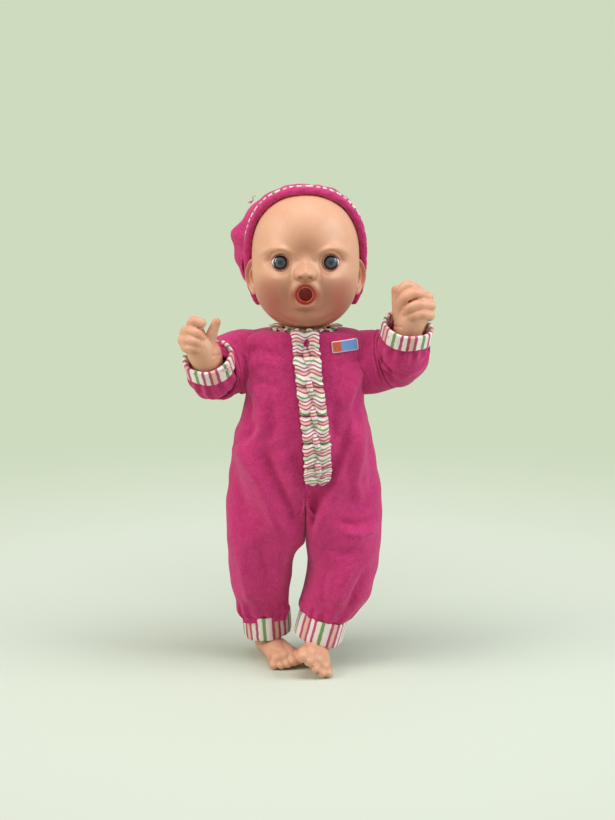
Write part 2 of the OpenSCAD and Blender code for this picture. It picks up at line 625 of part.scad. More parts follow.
// A foot on the +X side: heel at the given point, turned in by turn, with the inner toes lifted by lift.
module foot(heel, turn, lift) {
    intersection() {
        translate([heel[0], heel[1], 0]) rotate([0, 0, turn]) {
            link([0, 0, 10.5], [0, -16, 9.5], 11, 10, 12);
            link([0.5, -16, 9.5], [3, -foot_len + 15, 8.5], 10, 9, 12);
            link([0, -20, 9.7 + lift * 0.13], [-5, -foot_len + 16, 8 + lift * 0.55], 10, 8.5, 12);
            for (i = [0:toes - 1]) let (t = i / (toes - 1), r = 5.4 - 1.9 * soft(t * 1.6), x = -9 + 19.5 * t)
                link([x * 0.8, -foot_len + 16 + 2 * t, r + 2 + lift * (1 - t) * 0.8],
                    [x, -foot_len + r + 1.5 + 6.5 * t * t, r - 0.3 + lift * (1 - t)], r, r);
        }
        translate([-far / 2, -far / 2, 0]) cube([far, far, far]);
    }
}
module leg(keys, turn, lift) {
    heel = keys[len(keys) - 1];
    color(vinyl) difference() {
        union() {
            difference() {
                loft(reversed(leg_rings(keys, 0, 16)));
                loft(reversed([for (r = leg_rings(keys, -vinyl_wall - 1, 8)) [for (p = r) p + [1.2, 0, -3]]]));
            }
            along_x(hip_x + limb_gap, hip_x + limb_gap + root_len + 3, stem_r + 4, 0, hip_z, $fn = 24);
            foot([heel[0], heel[1] + 2], turn, lift);
        }
        along_x(0, hip_x + limb_gap + root_len + 3.2, stem_r + key_gap, 0, hip_z, $fn = 24);
    }
}
left_lift = 15;
right_lift = 3;
left_turn = -3;
right_turn = -14;
module left_leg() { leg(left_leg_keys, left_turn, left_lift); }
module right_leg() { mirror([1, 0, 0]) leg(right_leg_keys, right_turn, right_lift); }

// ---------- romper ----------

// [height above the hip axis, half width, front, back, squareness]; the top rings close in over the shoulders.
body_keys = [[-31, 15, 17, 17, 2.2], [-27, 24, 24, 24, 2.2], [-15, 40, 32, 32, 2.3], [5, 54, 37, 36, 2.4],
    [33, 57.5, 39.5, 37, 2.4], [48, 53, 42, 38, 2.5], [66, 50, 41.5, 37.5, 2.8], [77, 47.2, 40, 36.5, 3.5],
    [90, 47.1, 38, 35, 4.5], [shoulder_h, 47.1, 34, 32, 5.5], [trunk_h - 7, 46.5, 30, 29, 4], [trunk_h - 1.5, 41, 27.5, 27, 3],
    [trunk_h + 2, 31, 26, 26, 2.3]];
collar_r = 24;
function body_rings(inset, n) = [for (k = body_keys) let (w = k[1] - inset, f = k[2] - inset, b = k[3] - inset,
    z = hip_z + max(k[0], -31 + inset)) level_ring(z, -w, w, -f, b, k[4], n)];
arm_out = 47.5;
module romper_body() {
    color(pink) difference() {
        loft(body_rings(0, 20));
        difference() {
            loft(body_rings(cloth, 20));
            translate([0, 0, trunk_top + rest_gap]) cylinder(r = 60, h = 20);
        }
        cylinder(r = collar_r, h = far * 2);
        both_sides() {
            along_x(shoulder_x + 4, far, armhole_r - 9, 0, shoulder_z);
            translate([hip_x + 0.5, 0, 0]) {
                along_x(0, far, seat_r + ease, 0, hip_z);
                translate([0, -far / 2, 0]) cube([far, far, hip_z + hip_cut_top]);
            }
        }
    }
}

// A sleeve's rings: round about the shoulder axis at the armhole, square to the forearm at the cuff.
function sleeve_keys(keys) = [for (i = [2:len(keys) - 2]) keys[i]];
function sleeve_rings(keys, d, mouth, inset, n) = let (
    w = place(keys[len(keys) - 1]), a = unit(d),
    mid = [for (i = [3:len(keys) - 3]) keys[i]], last = len(mid) - 1,
    start = [arm_out + 0.1, 0, shoulder_z])
    concat([round_ring(start, [1, 0, 0], armhole_r - inset, n, elbow_side),
            round_ring(start + [9, -2, 0], [1, -0.15, 0], armhole_r - 1.5 - inset, n, elbow_side)],
        [for (i = [0:last]) let (e = place(mid[min(i + 1, last)]) - place(mid[max(i - 1, 0)]), t = (i + 1) / (last + 2))
            round_ring(place(mid[i]) + [0.5, 0, -1.5], e, armhole_r - 2.5 - (armhole_r - mouth - 4) * t - inset, n, elbow_side)],
        [round_ring(w - 5 * a, d, mouth + 0.2 - inset, n, elbow_side), round_ring(w + 1.2 * a, d, mouth - inset, n, elbow_side),
            round_ring(w + wrist_band * a * 0.55, d, mouth - inset, n, elbow_side)]);
wrist_r = 18.2;
module sleeve(keys, d) {
    color(pink) walled_loft(sleeve_rings(keys, d, wrist_r, 0, 18), sleeve_rings(keys, d, wrist_r, cloth, 18));
}
module left_sleeve() { sleeve(left_arm_keys, left_forearm); }
module right_sleeve() { mirror([1, 0, 0]) sleeve(right_arm_keys, right_forearm); }

// A turned-back band: two layers with a rolled rim at the open end.
module cuff(p, d, r, band) {
    color(striped) point_along(p, d) rotate_extrude()
        polygon([[r + ease, 0], [r + ease + cloth, 0], [r + ease + cloth, band - 0.8], [r + 0.9, band],
            [r - 0.2, band], [r - cloth, band - 0.8], [r - cloth, band * 0.75], [r + ease, band * 0.75]]);
}
module wrist_cuff(keys, d) {
    cuff(place(keys[len(keys) - 1]) - wrist_band * 0.2 * unit(d), d, wrist_r, wrist_band);
}
module left_wrist_cuff() { wrist_cuff(left_arm_keys, left_forearm); }
module right_wrist_cuff() { mirror([1, 0, 0]) wrist_cuff(right_arm_keys, right_forearm); }

// Trouser sections: [height above the sole, inner x, outer x, front, back].
left_trouser_keys = [[34, 17.4, 51, 11, 11], [27, 17.4, 57, 25, 25], [15, 17.4, 61, 33.8, 33.8], [0, 17.4, 62.5, 37, 37],
    [-20, 17.4, 63, 34.5, 34.5], [-38, 17.4, 62.5, 34, 33], [-47, 9, 62, 34, 32], [-56, 3, 61.5, 33.5, 31], [-70, 1, 59.5, 33, 29.5],
    [-90, -2, 53, 31, 26]];
right_trouser_keys = [[34, 17.4, 51, 11, 11], [27, 17.4, 57, 25, 25], [15, 17.4, 62, 33.8, 33.8], [0, 17.4, 65, 37, 37],
    [-20, 17.4, 66, 34.5, 34.5], [-38, 17.4, 66, 32, 35], [-47, 13, 65.5, 30, 35.5], [-56, 10.5, 65, 27, 36.5], [-70, 11.5, 64, 23, 38],
    [-90, 14.5, 61.5, 18, 40]];
ankle_r = 18;
left_ankle = [[9.7, -3, 20.5], [15.5, -3, 42]];
right_ankle = [[33, 17.5, 21], [34.5, 14.5, 42]];
function trouser_rings(keys, ankle, inset, n) = let (d = ankle[0] - ankle[1], a = unit(d))
    concat([for (k = keys) level_ring(hip_z + min(k[0], 34 - inset), k[1] + inset,
                k[2] - inset, -k[3] + inset, k[4] - inset, 2.3, n)],
        [round_ring(ankle[1] - 8 * a, -d, ankle_r + 2.2 - inset, n),
            round_ring(ankle[1] - 1.5 * a, -d, ankle_r - inset, n),
            round_ring(ankle[0] - ankle_band * 0.45 * a, -d, ankle_r - inset, n)]);
module trouser_leg(keys, ankle) {
    a = unit(ankle[0] - ankle[1]);
    inner = trouser_rings(keys, ankle, cloth, 20);
    last = len(inner) - 1;
    end = [for (p = inner[last]) p + a];
    color(pink) difference() {
        loft(reversed(trouser_rings(keys, ankle, 0, 20)));
        loft(concat([end], [for (i = [last - 1:-1:0]) inner[i]]));
        along_x(0, hip_x + limb_gap + cloth + 1.2, seat_r - cloth - 1.5, 0, hip_z);
    }
}
module left_trouser_leg() { trouser_leg(left_trouser_keys, left_ankle); }
module right_trouser_leg() { mirror([1, 0, 0]) trouser_leg(right_trouser_keys, right_ankle); }
module ankle_cuff(ankle) {
    d = ankle[0] - ankle[1];
    cuff(ankle[1] - 0.5 * unit(d), d, ankle_r, ankle_band);
}
module left_ankle_cuff() { ankle_cuff(left_ankle); }
module right_ankle_cuff() { mirror([1, 0, 0]) ankle_cuff(right_ankle); }

// A gathered strip round the neck, waved up and down as it goes.
collar_waves = 12;
function collar_ring(r, z, rise) = [for (i = [0:collar_waves * 5 - 1]) let (a = 72 * i / collar_waves, wave = sin(72 * i))
    [(r + 0.8 * wave) * cos(a), (r + 0.8 * wave) * sin(a), z + rise * (1 + wave)]];
module collar_ruffle() {
    z0 = trunk_top + 2.3;
    color(striped) walled_loft([collar_ring(collar_r + 5.2, z0, 0), collar_ring(collar_r + 5.6, z0 + 2.2, 0.7)],
        [collar_ring(collar_r + 1.4, z0, 0), collar_ring(collar_r + 1.6, z0 + 2.6, 0.7)]);
}

// Front and back of the romper at a height above the hip axis; x is measured from the centre line.
function body_at(h, i) = lookup(h, [for (k = body_keys) [k[0], k[i]]]);
function front_y(h, x = 0) = -body_at(h, 2) * pow(1 - pow(abs(x) / body_at(h, 1), body_at(h, 4)), 1 / body_at(h, 4));
function back_at(h) = body_at(h, 3);
ruffle_top = trunk_h - 1.5;
ruffle_bottom = 22;
// The ruffle's tape and its pleats, each pleat a rounded roll that springs off the tape.
// The ruffled strip leans this far towards the doll's left hip.
ruffle_lean = 9;
module placket_ruffle() {
    n = 4 * ruffle_folds;
    color(striped) loft(reversed([for (i = [0:n]) let (t = i / n, h = ruffle_bottom + (ruffle_top - ruffle_bottom) * t,
        mid = 1 + ruffle_lean * (1 - t), w = ruffle_w / 2 * (i % 4 == 0 ? 0.84 : 1),
        bulge = i % 4 == 2 ? 4.4 : i % 4 == 0 ? 1 : 2.8,
        front = [1.2, bulge, bulge * 0.55, bulge, 1.2])
        concat([for (k = [-2:2]) let (x = mid + w * k / 2) [x, front_y(h, x) - 0.4, hip_z + h]],
            [for (k = [2:-1:-2]) let (x = mid + w * k / 2) [x, front_y(h, x) - 0.4 - front[k + 2], hip_z + h]])]));
}
placket_end = 30;
module back_placket() {
    color(pink) loft([for (i = [0:10]) let (h = placket_end + (trunk_h - 6 - placket_end) * i / 10, y = back_at(h) + 0.4)
        [[8, y, hip_z + h], [8, y + cloth, hip_z + h], [-8, y + cloth, hip_z + h], [-8, y, hip_z + h]]]);
}
module back_snaps() {
    color(white_plastic) for (i = [0:3]) let (h = placket_end + 12 + i * 26)
        along_y(back_at(h) + 0.4 + cloth + 0.8, back_at(h) + 0.4 + cloth + 2.4, 4, 0, hip_z + h, $fn = 24);
}
module chest_patch() {
    w = 21;
    h = 9;
    edge = 1.5;
    color("#dfe7f2") intersection() {
        difference() {
            loft(body_rings(-rest_gap - 0.8, 20));
            loft(body_rings(-rest_gap, 20));
        }
        translate([31.5, 0, hip_z + trunk_h - 8]) rotate([90, -6, 0]) linear_extrude(far)
            offset(edge, $fn = 16) square([w - 2 * edge, h - 2 * edge], center = true);
    }
}

// ---------- hat ----------

hat_grow = 4;
// The crown stands out a little more at the back, where it is gathered.
hat_slack = 3.2;
brim_r = 2.6;
// Room between the head and the brim.
brim_gap = 2.7;
// The hat's edge leans back a little from the crown to the nape.
brim_top = -19;
brim_bottom = 26;
brim_lean = atan2(brim_bottom - brim_top, head_h);
module behind_brim(shift = 0) {
    translate([0, (brim_top + brim_bottom) / 2 + shift, head_z]) rotate([brim_lean, 0, 0])
        translate([-far / 2, 0, -far / 2]) cube([far, far, far]);
}
function hat_point(lon, lat, grow) = let (p = head_point(lon, lat, -grow, 0), u = (lon - 256) / 27,
    peak = 14 * bell(lat - 26, 18) * exp(-u * u), slack = hat_slack * soft(-cos(lon)) * bell(lat - 8, 45))
    p + peak * unit([-0.9, 0.35, 0.25]) + [0, slack, 0];
module hat_form(grow, peak, n, m) {
    loft([for (j = [0:m]) let (lat = -70 + 158 * j / m)
        [for (i = [0:n - 1]) let (lon = face_lon(i, n)) peak ? hat_point(lon, lat, grow) : head_point(lon, lat, -grow, 0)]]);
}
module hat_crown() {
    color(pink) difference() {
        intersection() {
            hat_form(hat_grow, true, 20, 10);
            behind_brim(2 * brim_r + 1.6);
        }
        hat_form(hat_grow - cloth, false, 20, 10);
        translate([0, 0, head_z - head_h / 2 - 1]) cylinder(r = 60, h = 18);
    }
}
// The edge ring follows the head's outline in the brim's leaning plane.
function edge_point(a, grow, shift) = let (c = head_h / 2 + grow, y0 = (brim_top + brim_bottom) / 2 + shift,
    top = sqrt(1 - pow((y0 - c * tan(brim_lean)) / (head_front + grow), 2)), z = c * top * sin(a),
    x = (head_w / 2 + grow) * head_slice(z / top, c) * sqrt(1 - pow((y0 - z * tan(brim_lean)) / (head_front + grow), 2)))
    [sign(cos(a)) * x, y0 - z * tan(brim_lean), head_z + z];
function edge_path(grow, shift, n) = [for (i = [0:n]) edge_point(-42 + 264 * i / n, grow, shift)];
function edge_rings(path, r, n) = let (last = len(path) - 1)
    [for (i = [0:last]) round_ring(path[i], path[min(i + 1, last)] - path[max(i - 1, 0)], r, n, [0, 1, 0])];
module hat_brim() {
    color(pink) loft(edge_rings(edge_path(brim_r + brim_gap, 0, 30), brim_r, 8));
}
module hat_piping() {
    color(striped) loft(edge_rings(edge_path(brim_r + brim_gap + 0.2, brim_r + 1.3, 30), 1, 6));
}
module hat_bow() {
    color(striped) translate([1.7 - head_w / 2, 8.2, head_z + head_h / 2 - 10.8]) rotate([0, -45, 20]) {
        link([0, 0, 3], [1, 3, 4], 1.6, 1.6, 8);
        for (s = [-1, 1]) difference() {
            translate([0, s * 5, 3.6]) resize([4, 9, 6]) sphere(4, $fn = 10);
            translate([0, s * 5.5, 3.8]) resize([9, 5.6, 3.2]) sphere(4, $fn = 8);
        }
    }
}

torso_front_shell();
torso_back_shell();
torso_screws();
neck_post();
left_hip_hub();
right_hip_hub();
left_shoulder_hub();
right_shoulder_hub();
battery_tray();
battery_cells();
battery_contacts();
battery_door();
door_screw();
circuit_board();
sound_chip();
loudspeaker();
speaker_clip();
tummy_button();
tummy_switch();
button_spring();
power_switch_body();
power_switch_knob();
head_shell();
left_eye();
right_eye();
mouth_cup();
mouth_plunger();
mouth_switch();
left_arm();
right_arm();
left_leg();
right_leg();
romper_body();
left_sleeve();
right_sleeve();
left_trouser_leg();
right_trouser_leg();
left_wrist_cuff();
right_wrist_cuff();
left_ankle_cuff();
right_ankle_cuff();
collar_ruffle();
placket_ruffle();
back_placket();
back_snaps();
chest_patch();
hat_crown();
hat_brim();
hat_piping();
hat_bow();
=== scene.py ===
# Interactive baby doll in a fleece romper and cap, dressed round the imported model.
# Numbers are millimetres unless a name says otherwise, +Z is up and the doll faces -Y.
import json
import math

import bmesh
import bpy
import numpy as np
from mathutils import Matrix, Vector


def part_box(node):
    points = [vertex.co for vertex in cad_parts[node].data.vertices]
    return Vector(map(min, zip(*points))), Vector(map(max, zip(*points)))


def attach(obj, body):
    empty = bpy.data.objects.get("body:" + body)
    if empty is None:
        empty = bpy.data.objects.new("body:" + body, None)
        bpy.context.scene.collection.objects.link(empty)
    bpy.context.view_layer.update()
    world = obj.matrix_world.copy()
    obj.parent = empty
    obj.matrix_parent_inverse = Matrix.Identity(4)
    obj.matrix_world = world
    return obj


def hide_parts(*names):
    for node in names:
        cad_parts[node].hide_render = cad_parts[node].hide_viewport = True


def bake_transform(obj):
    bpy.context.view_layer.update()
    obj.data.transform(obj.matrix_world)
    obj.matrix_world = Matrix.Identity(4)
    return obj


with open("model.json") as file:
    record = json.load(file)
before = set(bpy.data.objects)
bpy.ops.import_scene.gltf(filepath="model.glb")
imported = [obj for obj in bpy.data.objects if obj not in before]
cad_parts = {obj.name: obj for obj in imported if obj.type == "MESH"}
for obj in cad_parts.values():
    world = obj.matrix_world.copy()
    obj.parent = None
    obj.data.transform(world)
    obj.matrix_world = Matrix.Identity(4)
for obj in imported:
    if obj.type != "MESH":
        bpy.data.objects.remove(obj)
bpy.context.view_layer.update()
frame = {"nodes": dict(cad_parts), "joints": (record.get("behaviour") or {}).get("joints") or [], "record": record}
print("frame loaded:", len(frame["nodes"]), "nodes")

mm = 0.001


def nodeBox(node):
    low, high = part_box(node)
    return np.array(low) / mm, np.array(high) / mm


def nodeMiddle(node):
    low, high = nodeBox(node)
    return (low + high) / 2


def jointAt(name):  # where a joint's axis passes
    return np.array(next(j["pos_m"] for j in frame["joints"] if j["name"] == name)) / mm


# curves and soft steps

def unit(v):
    v = np.asarray(v, float)
    return v / np.maximum(np.linalg.norm(v, axis=-1, keepdims=True), 1e-9)


def soft(t):  # smooth step from 0 to 1
    t = np.clip(t, 0, 1)
    return t * t * (3 - 2 * t)


def bell(x, width):
    return np.exp(-(x / width) ** 2)


def dome(r):  # flat in the middle, with a firm edge about r = 1
    return np.exp(-np.abs(r) ** 3)


def signedPower(v, p):
    return np.sign(v) * np.abs(v) ** p


def circle(count):  # angles of one ring, as a row
    return np.linspace(0, 2 * math.pi, count, endpoint=False)[None, :]


def along(keys, t):  # Catmull-Rom curve through evenly spaced keys, t from 0 to 1
    keys = np.asarray(keys, float)
    last = len(keys) - 1
    s = np.clip(np.asarray(t, float), 0, 1) * last
    i = np.minimum(s.astype(int), last - 1)
    f = (s - i)[..., None] if keys.ndim > 1 else s - i
    a, b, c, d = keys[np.maximum(i - 1, 0)], keys[i], keys[i + 1], keys[np.minimum(i + 2, last)]
    return 0.5 * (2 * b + (c - a) * f + (2 * a - 5 * b + 4 * c - d) * f ** 2
                  + (3 * b - a - 3 * c + d) * f ** 3)


def ripple(points, seed, wavelength, count=7):  # sum of sines in seeded directions, about -1 to 1
    rng = np.random.default_rng(seed)
    total = np.zeros(points.shape[:-1])
    for direction, phase, stretch in zip(unit(rng.normal(size=(count, 3))), rng.uniform(0, 6.28, count),
                                         rng.uniform(0.7, 1.5, count)):
        total += np.sin(points @ direction * 6.283 / (wavelength * stretch) + phase)
    return total / math.sqrt(count)


# meshes from grids

def putMesh(name, points, quads, uv=None, masks=None):
    # vertices from an array of points, faces from an array of corner numbers, smooth shaded
    mesh = bpy.data.meshes.new(name)
    mesh.vertices.add(len(points))
    mesh.vertices.foreach_set("co", (points * mm).astype(np.float32).ravel())
    mesh.loops.add(quads.size)
    mesh.loops.foreach_set("vertex_index", quads.astype(np.int32).ravel())
    mesh.polygons.add(len(quads))
    mesh.polygons.foreach_set("loop_start", np.arange(0, quads.size, quads.shape[1], dtype=np.int32))
    mesh.update(calc_edges=True)
    if uv is not None:
        mesh.uv_layers.new(name="cloth").data.foreach_set("uv", uv.astype(np.float32).ravel())
    for mask, values in (masks or {}).items():
        data = mesh.attributes.new(mask, "FLOAT", "POINT").data
        data.foreach_set("value", values.astype(np.float32).ravel())
    mesh.validate()
    mesh.polygons.foreach_set("use_smooth", np.ones(len(mesh.polygons), bool))
    piece = bpy.data.objects.new(name, mesh)
    bpy.context.scene.collection.objects.link(piece)
    return piece


def gridCorners(rows, columns, wrap=False):
    # corner numbers of a grid's quads; a wrapped grid joins its last column to its first
    i, j = np.meshgrid(np.arange(rows - 1), np.arange(columns if wrap else columns - 1), indexing="ij")
    k = (j + 1) % columns
    return np.stack([i * columns + j, i * columns + k, (i + 1) * columns + k, (i + 1) * columns + j],
                    -1).reshape(-1, 4)


def gridUv(rows, columns, wrap=False, size=(1, 1)):
    # one uv for each corner of gridCorners, size wide and high over the whole grid
    i, j = np.meshgrid(np.arange(rows - 1), np.arange(columns if wrap else columns - 1), indexing="ij")
    across = columns if wrap else columns - 1
    u, v = np.stack([j, j + 1, j + 1, j], -1) / across, np.stack([i, i, i + 1, i + 1], -1) / (rows - 1)
    return np.stack([u * size[0], v * size[1]], -1).reshape(-1, 2)


def putGrid(name, grid, wrap=False, uvSize=(1, 1), flip=False, keep=None, masks=None):
    # a surface from rows x columns points; keep is a mask of the quads that stay
    rows, columns = grid.shape[:2]
    quads, uv = gridCorners(rows, columns, wrap), gridUv(rows, columns, wrap, uvSize).reshape(-1, 4, 2)
    if keep is not None:
        quads, uv = quads[keep.ravel()], uv[keep.ravel()]
    if flip:
        quads, uv = quads[:, ::-1], uv[:, ::-1]
    return putMesh(name, grid.reshape(-1, 3), quads, uv, masks)


def gridNormals(grid, wrap=False):
    # unit normals of a grid from its neighbours along both ways, turned as gridCorners' faces are
    if wrap:
        across = np.roll(grid, -1, 1) - np.roll(grid, 1, 1)
    else:
        across = np.gradient(grid, axis=1)
    return unit(np.cross(across, np.gradient(grid, axis=0)))


def joined(name, *pieces):
    # several pieces made one, with their masks and materials kept
    with bpy.context.temp_override(active_object=pieces[0], selected_editable_objects=list(pieces)):
        bpy.ops.object.join()
    pieces[0].name = name
    pieces[0].data.name = name
    return pieces[0]


def mergeDoubles(piece, reach=0.02, closed=False):  # a closed piece also gets its faces turned outwards
    mesh = bmesh.new()
    mesh.from_mesh(piece.data)
    bmesh.ops.remove_doubles(mesh, verts=mesh.verts, dist=reach * mm)
    if closed:
        bmesh.ops.recalc_face_normals(mesh, faces=mesh.faces)
    mesh.to_mesh(piece.data)
    mesh.free()
    return piece


def applyModifiers(piece):
    made = bpy.data.meshes.new_from_object(piece.evaluated_get(bpy.context.evaluated_depsgraph_get()))
    old = piece.data
    piece.modifiers.clear()
    piece.data = made
    bpy.data.meshes.remove(old)
    piece.data.name = piece.name
    return piece


def thicken(piece, thickness, offset=-1.0):
    wall = piece.modifiers.new("wall", "SOLIDIFY")
    wall.thickness = thickness * mm
    wall.offset = offset
    return piece


def dress(piece, body, material, *nodes, slot=None):
    # the finished piece gets its material, its body and the nodes that it stands for
    if material is not None:
        piece.data.materials.clear()
        piece.data.materials.append(material)
    if body:
        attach(piece, body)
    if nodes:
        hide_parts(*nodes)
    return piece


# head

mouthMount = next(m for m in frame["record"]["mounts"] if m["name"] == "mouth")
eyeMiddle = nodeMiddle("left_eye")
headTop = nodeBox("head_shell")[1][2]
headHalf, mouthInset, mouthPlay = 53.5, 7.0, 0.1
head = {  # heights named Up are above the head's middle
    "halfWidth": 43.5, "halfDepth": 47.0, "halfHeight": headHalf, "fullness": 2.45, "jaw": 2.8,
    "middle": headTop - headHalf, "columns": 320, "rows": 250,
    "eyeX": eyeMiddle[0], "eyeY": eyeMiddle[1], "eyeUp": eyeMiddle[2] - headTop + headHalf,
    "eyeRadius": 9.5, "lid": 5.9, "noseUp": -8.0,
    "mouthUp": nodeMiddle("mouth_cup")[2] - headTop + headHalf,
    "mouthFront": nodeBox("mouth_cup")[0][1] + mouthInset,
    "mouthRadius": mouthMount["dims"]["r_mm"] - mouthPlay,
}


def headSlice(z, half):  # share of the full breadth that the plain head has at height z, fuller at the jowls
    n = np.where(np.asarray(z) < 0, head["jaw"], head["fullness"])
    return np.maximum(1 - np.abs(z / half) ** n, 0) ** (1 / n)


def faceRelief(x, z):
    # how far the face stands forward of the plain head: a sum of bells for each soft form
    side = np.abs(x)
    nose, mouth, eye = z - head["noseUp"], z - head["mouthUp"], z - head["eyeUp"]
    aroundMouth = np.hypot(x, mouth * 0.88)
    fromEye = side - head["eyeX"]
    aroundEye = np.hypot(fromEye, eye)
    return (7.4 * dome(np.hypot(x / 7.2, (nose + 0.6) / np.where(nose > -0.6, 7.0, 5.0)))
            + 2.8 * bell(x, 4.6) * bell(nose + 0.6, 4.2)
            + 2.2 * bell(x, 4.4) * bell(nose - 7, 6.0)
            + 3.0 * dome(np.hypot((side - 5.6) / 3.2, (nose + 1.8) / 3.8))
            - 2.6 * bell(np.hypot((side - 3.8) / 1.25, nose + 3.6), 1.15)
            - 0.9 * bell(side - 10.8, 2.2) * bell(nose + 1.5, 4.5)
            + 3.7 * bell(side - 22, 12) * bell(mouth - 3, 12)
            + 2.2 * bell(fromEye - 3, 10) * bell(eye + 11, 5.5)
            + 4.6 * bell(fromEye - 3, 9.5) * bell(eye - 11.6 + (fromEye - 3) ** 2 * 0.03, 2.9)
            - 2.4 * bell(x, 8) * bell(eye - 6, 9)
            - 4.4 * bell(fromEye + 1, 9.5) * bell(eye - 1.2, 6.6)
            - 2.4 * bell(fromEye - 10, 3.6) * bell(eye - 0.5, 4.2)
            + 0.9 * bell(aroundEye - 7.4, 1.2) - 0.55 * bell(aroundEye - 9.4, 0.8) * soft(eye / 5 + 0.4)
            + 3.4 * bell(aroundMouth - 8.9, 2.8)
            + 1.6 * bell(x, 5) * bell(mouth - 7.6, 1.9) - 0.8 * bell(x, 1.3) * bell(mouth - 8.6, 1.2)
            + 2.2 * bell(x, 5.5) * bell(mouth + 7.4, 2.2)
            - 0.9 * bell(x, 1.7) * bell(mouth - 11.6, 2.4)
            + 0.7 * bell(side - 2.3, 1.0) * bell(mouth - 11.6, 2.4)
            + 4.5 * bell(x, 13) * bell(mouth + 17, 7)
            - 2.2 * bell(x, 8) * bell(mouth + 12.4, 2.2)
            - bell(x, 26) * bell(mouth + 21.4 - x * x / 90, 1.3)
            + bell(x, 24) * bell(mouth + 24.5 - x * x / 90, 1.8))


def opened(x, z, centreX, centreZ, hole, core, reach):
    # points within reach of a centre move outwards, so that a clean hole opens there
    dx, dz = x - centreX, z - centreZ
    rho = np.hypot(dx, dz)
    wider = hole + (reach - hole) * np.clip((rho - core) / (reach - core), 0, 1) ** 1.5
    scale = np.where(rho < reach, wider / np.maximum(rho, 0.05), 1)
    return centreX + dx * scale, centreZ + dz * scale, rho < core


def earGrid(side):
    # rings from the ear's middle over its rim and back to the head; the profile gives radius and height
    ear = {"at": (41.6, -4.5, -14.5), "back": 8.2, "front": 6.2, "up": 14.2, "down": 14.2, "flare": 50,
           "lean": 8}
    profile = [(0, -3.4), (0.16, -3.8), (0.3, -3.2), (0.42, -0.8), (0.52, 0.6), (0.62, 0.1), (0.72, -1.0),
               (0.82, 0.4), (0.92, 2.1), (1.0, 1.8), (1.03, 0.2), (0.98, -1.6), (0.86, -3.6),
               (0.74, -6.5), (0.7, -10.0)]
    angle = circle(72)
    rings = along(profile, np.linspace(0, 1, 64))
    radius, height = rings[:, :1], rings[:, 1:]
    backward, upward = np.cos(angle), np.sin(angle)
    width = np.where(backward > 0, ear["back"], ear["front"])
    width = width * (1 - 0.32 * soft(-upward)) * (1 - 0.1 * soft(upward))
    tall = np.where(upward > 0, ear["up"], ear["down"])
    curl = 0.35 + 0.65 * soft(0.9 + 1.4 * backward + 0.5 * upward)
    lobe = soft(-upward * 1.8 - 0.6)
    height = (height * np.where(height > -1, curl * (1 - 0.8 * lobe), 1)
              + 1.2 * lobe * bell(radius - 0.7, 0.35))
    tragus = 2.0 * bell(np.hypot(radius * backward + 0.62, radius * upward + 0.12), 0.2)
    local = np.stack([width * radius * backward, tall * radius * upward,
                      height + tragus - 1.2 * soft(-backward) * radius], -1)
    turn, lean = math.radians(ear["flare"]), math.radians(ear["lean"])
    outward = np.array([math.cos(turn), -math.sin(turn), 0])
    rear = np.array([math.sin(turn), math.cos(turn), 0])
    rise = np.array([0, math.sin(lean), math.cos(lean)])
    grid = np.array(ear["at"]) + [0, 0, head["middle"]] + local @ np.stack([rear, rise, outward])
    return grid * [side, 1, 1]


